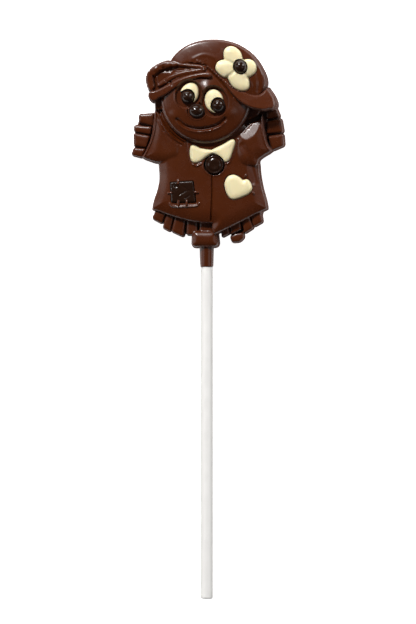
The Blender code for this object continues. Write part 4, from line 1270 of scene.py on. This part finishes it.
# %% The beads along the brim's seam
SEAM = stroke(
    (-2.1, 73.7), (-1.0, 72.7), (1.1, 71.5), (2.5, 70.3), (4.3, 68.5), (5.8, 67.2), (8.7, 64.8),
    (11.4, 62.9),
)
BEAD_STEP, BEAD_HALF = 1.15, 0.33
spots = respace(SEAM, BEAD_STEP, closed=False)
way = np.gradient(spots, axis=0)
way *= BEAD_HALF / np.linalg.norm(way, axis=1)[:, None]
beads = line_mesh("seam lines", [on_surface(pair, BEAD_SUNK) for pair in zip(spots - way, spots + way)])
bead = {"Radius": 0.36 * MM, "Arch": 0.1 * MM, "Seed": 11, "Material": MILK}
finish(grown("milk_brim_seam", beads, STITCH_TREE, bead))

# %% [markdown]
# ## The paper stick
# A lollipop stick is a strip of paper wound tightly into a rod, so a very fine seam runs round it in a
# long spiral, and its cut end is a little rounded. Geometry Nodes draw a circle along a line and round
# off its end. The seam is too fine for the mesh, so the material draws it, by the angle round the axis
# and the way along it. The material also paints the paper darker where it faces sideways, as painted
# shade on the stick's sides.

# %% Wind the stick
STICK_RADIUS, STICK_START, STICK_END = 2.2, 8.0, -119.7


def stick_tree():
    tree, given, result = geometry_tree(
        "paper stick",
        [
            ("Radius", "NodeSocketFloat", STICK_RADIUS * MM),
            ("Round", "NodeSocketFloat", 0.4 * MM),
            ("Material", "NodeSocketMaterial", None),
        ],
    )
    line = step(tree, "GeometryNodeMeshToCurve", {0: given["Geometry"]})
    even = step(tree, "GeometryNodeResampleCurve", {"Curve": line.outputs[0], "Count": 500})
    at = step(tree, "GeometryNodeSplineParameter").outputs["Length"]
    whole = step(tree, "GeometryNodeSplineLength").outputs["Length"]
    share = math_node(tree, "DIVIDE", math_node(tree, "SUBTRACT", whole, at), given["Round"])
    share.node.use_clamp = True
    turn = math_node(tree, "POWER", math_node(tree, "SUBTRACT", 1.0, share), 2.5)
    cut = math_node(tree, "MULTIPLY", turn, given["Round"])
    size = math_node(tree, "SUBTRACT", given["Radius"], cut)
    swept(tree, even, size, 96, given["Material"], result)
    return tree


# %% Paint the paper
SEAM_PITCH = 21 * MM


def paper_surface():
    tree, start, end = group_with(
        "rolled paper",
        [
            ("Colour", "NodeSocketColor", (0.85, 0.83, 0.79, 1)),
            ("Shade", "NodeSocketColor", (0.75, 0.72, 0.67, 1)),
            ("Seam", "NodeSocketFloat", 0.3),
        ],
        [
            ("Colour", "NodeSocketColor"),
            ("Roughness", "NodeSocketFloat"),
            ("Height", "NodeSocketFloat"),
        ],
    )
    where, upward = coordinates(tree)
    # Painted shade: the paper is mixed towards its darker colour where it faces sideways, so the stick's
    # sides look shaded.
    side = ramp(tree, upward, 0.25, 0.95, 1.0, 0.0)
    fibres = tree.nodes.new("ShaderNodeMapping")
    fibres.inputs["Scale"].default_value = (1.0, 0.25, 1.0)
    tree.links.new(where, fibres.inputs["Vector"])
    fibre = noise(tree, fibres.outputs[0], 2600, 4, 0.6)
    cloud = ramp(tree, noise(tree, where, 160, 3), 0.35, 0.7, 0.0, 0.12)
    part = tree.nodes.new("ShaderNodeSeparateXYZ")
    tree.links.new(where, part.inputs[0])
    x = math_node(tree, "SUBTRACT", part.outputs[0], (STICK_AXIS[0] + SHIFT[0]) * MM)
    z = math_node(tree, "SUBTRACT", part.outputs[2], STICK_AXIS[1] * MM)
    angle = math_node(tree, "DIVIDE", math_node(tree, "ARCTAN2", z, x), 2 * math.pi)
    along = math_node(tree, "DIVIDE", part.outputs[1], SEAM_PITCH)
    wound = math_node(tree, "FRACT", math_node(tree, "ADD", along, angle))
    seam_off = math_node(tree, "ABSOLUTE", math_node(tree, "SUBTRACT", wound, 0.5))
    line = ramp(tree, seam_off, 0.0, 0.012, 1.0, 0.0)
    line = math_node(tree, "MULTIPLY", line, start.outputs["Seam"])
    # The darker colour takes in the faint clouds and the seam, which are the paper's own, and the
    # painted shade on the sides.
    tone_and_painted_side_shade = math_node(tree, "MAXIMUM", math_node(tree, "MAXIMUM", cloud, line), side)
    colour = mixed(tree, tone_and_painted_side_shade, start.outputs["Colour"], start.outputs["Shade"])
    height = math_node(tree, "SUBTRACT", fibre, math_node(tree, "MULTIPLY", line, 3.0))
    tree.links.new(colour, end.inputs["Colour"])
    tree.links.new(ramp(tree, fibre, 0.3, 0.7, 0.48, 0.66), end.inputs["Roughness"])
    tree.links.new(height, end.inputs["Height"])
    return tree


# The second, darker colour serves the paper's faint clouds and seam, and the painted shade on the
# stick's sides.
PAPER_LOOK = {"Colour": (0.84, 0.825, 0.8), "Shade": (0.38, 0.37, 0.355), "Seam": 0.12}
PAPER, _ = material_with("stick paper", paper_surface(), PAPER_LOOK, 0.25, 0.02 * MM)

# %% Make the stick
ends = [(STICK_AXIS[0], y, STICK_AXIS[1]) for y in (STICK_START, STICK_END)]
wanted = {"Radius": STICK_RADIUS * MM, "Material": PAPER}
stick = grown("rolled_stick", line_mesh("stick line", [ends]), stick_tree(), wanted)
finish(stick, "stick")

# %% [markdown]
# ## Floor, light and camera
# The lollipop lies on a white sheet that gives light itself, as a light table does, so the background is
# white and has no shadow. One small key lamp at the upper left puts a tight highlight on each dome and
# on the sleeve's facet. Dim soft boxes low at the sides brighten the turned edges. Little light comes
# from straight above, so the flat tops stay dark and rich.

# %% Floor
FLOOR_HALF, FLOOR_BELOW = 1.5, 0.05 * MM


def floor_sheet():
    mesh = bpy.data.meshes.new("floor")
    corners = [(x * FLOOR_HALF, y * FLOOR_HALF, 0) for x, y in ((-1, -1), (1, -1), (1, 1), (-1, 1))]
    mesh.from_pydata(corners, [], [(0, 1, 2, 3)])
    made = in_scene("floor", mesh)
    made.location.z = -FLOOR_BELOW
    white_sheet = bpy.data.materials.new("floor white")
    white_sheet.use_nodes = True
    sockets = white_sheet.node_tree.nodes["Principled BSDF"].inputs
    sockets["Base Color"].default_value = (0.9, 0.9, 0.9, 1)
    sockets["Roughness"].default_value = 0.9
    sockets["Specular IOR Level"].default_value = 0.1
    sockets["Emission Color"].default_value = (1, 1, 1, 1)
    sockets["Emission Strength"].default_value = 1.0
    mesh.materials.append(white_sheet)


floor_sheet()

# %% Lights
TARGET = Vector((0.2, 2.56, 8.0)) * MM
LAMP_DISTANCE = 2.0
# Each lamp has a direction from the lollipop, the two sides of its box in metres, and watts.
LAMPS = (
    ("key", (-0.28, 0.69, 0.67), (0.25, 0.25), 46),
    ("far box", (-0.2, 0.9, 0.25), (1.6, 0.55), 11),
    ("left box", (-1.0, 0.1, 0.55), (0.6, 1.6), 5),
    ("right box", (0.8, 0.55, 0.35), (0.55, 0.9), 14),
    ("right sheen", (1.0, 0.0, 1.0), (0.5, 1.2), 2),
)


def area_light(name, direction, size, power):
    lamp = bpy.data.lights.new(name, "AREA")
    lamp.shape = "RECTANGLE"
    lamp.size, lamp.size_y = size
    lamp.energy = power
    made = in_scene(name, lamp)
    made.location = TARGET + Vector(direction).normalized() * LAMP_DISTANCE
    made.rotation_euler = (TARGET - made.location).to_track_quat("-Z", "Y").to_euler()


for lamp in LAMPS:
    area_light(*lamp)
world = bpy.data.worlds.new("dim room")
world.use_nodes = True
background = world.node_tree.nodes["Background"].inputs
background["Color"].default_value = (1, 1, 1, 1)
background["Strength"].default_value = 0.05
bpy.context.scene.world = world
print("lamps:", [name for name, *_ in LAMPS])

# %% [markdown]
# The photo shows a thin strip of the right-hand wall and none of the left-hand one, and no perspective.
# So the camera looks almost straight down, leaning three degrees to the right, from far away.

# %% Camera
DISTANCE, TILT, SENSOR = 3.0, math.radians(3.2), 36.0
PHOTO_HEIGHT, MM_PER_PIXEL = 624, 0.36
lens = bpy.data.cameras.new("camera")
lens.sensor_fit = "VERTICAL"
lens.sensor_height = SENSOR
lens.lens = SENSOR * DISTANCE / (PHOTO_HEIGHT * MM_PER_PIXEL * MM)
lens.clip_start, lens.clip_end = 0.05, 10
camera = in_scene("camera", lens)
back = Vector((math.sin(TILT), 0, math.cos(TILT)))
up = Vector((0, 1, 0))
turned = Matrix((up.cross(back), up, back)).transposed()
camera.matrix_world = Matrix.LocRotScale(TARGET + back * DISTANCE, turned, None)
bpy.context.scene.camera = camera
bpy.context.scene.view_settings.view_transform = "Standard"
print("lens in mm:", round(lens.lens))
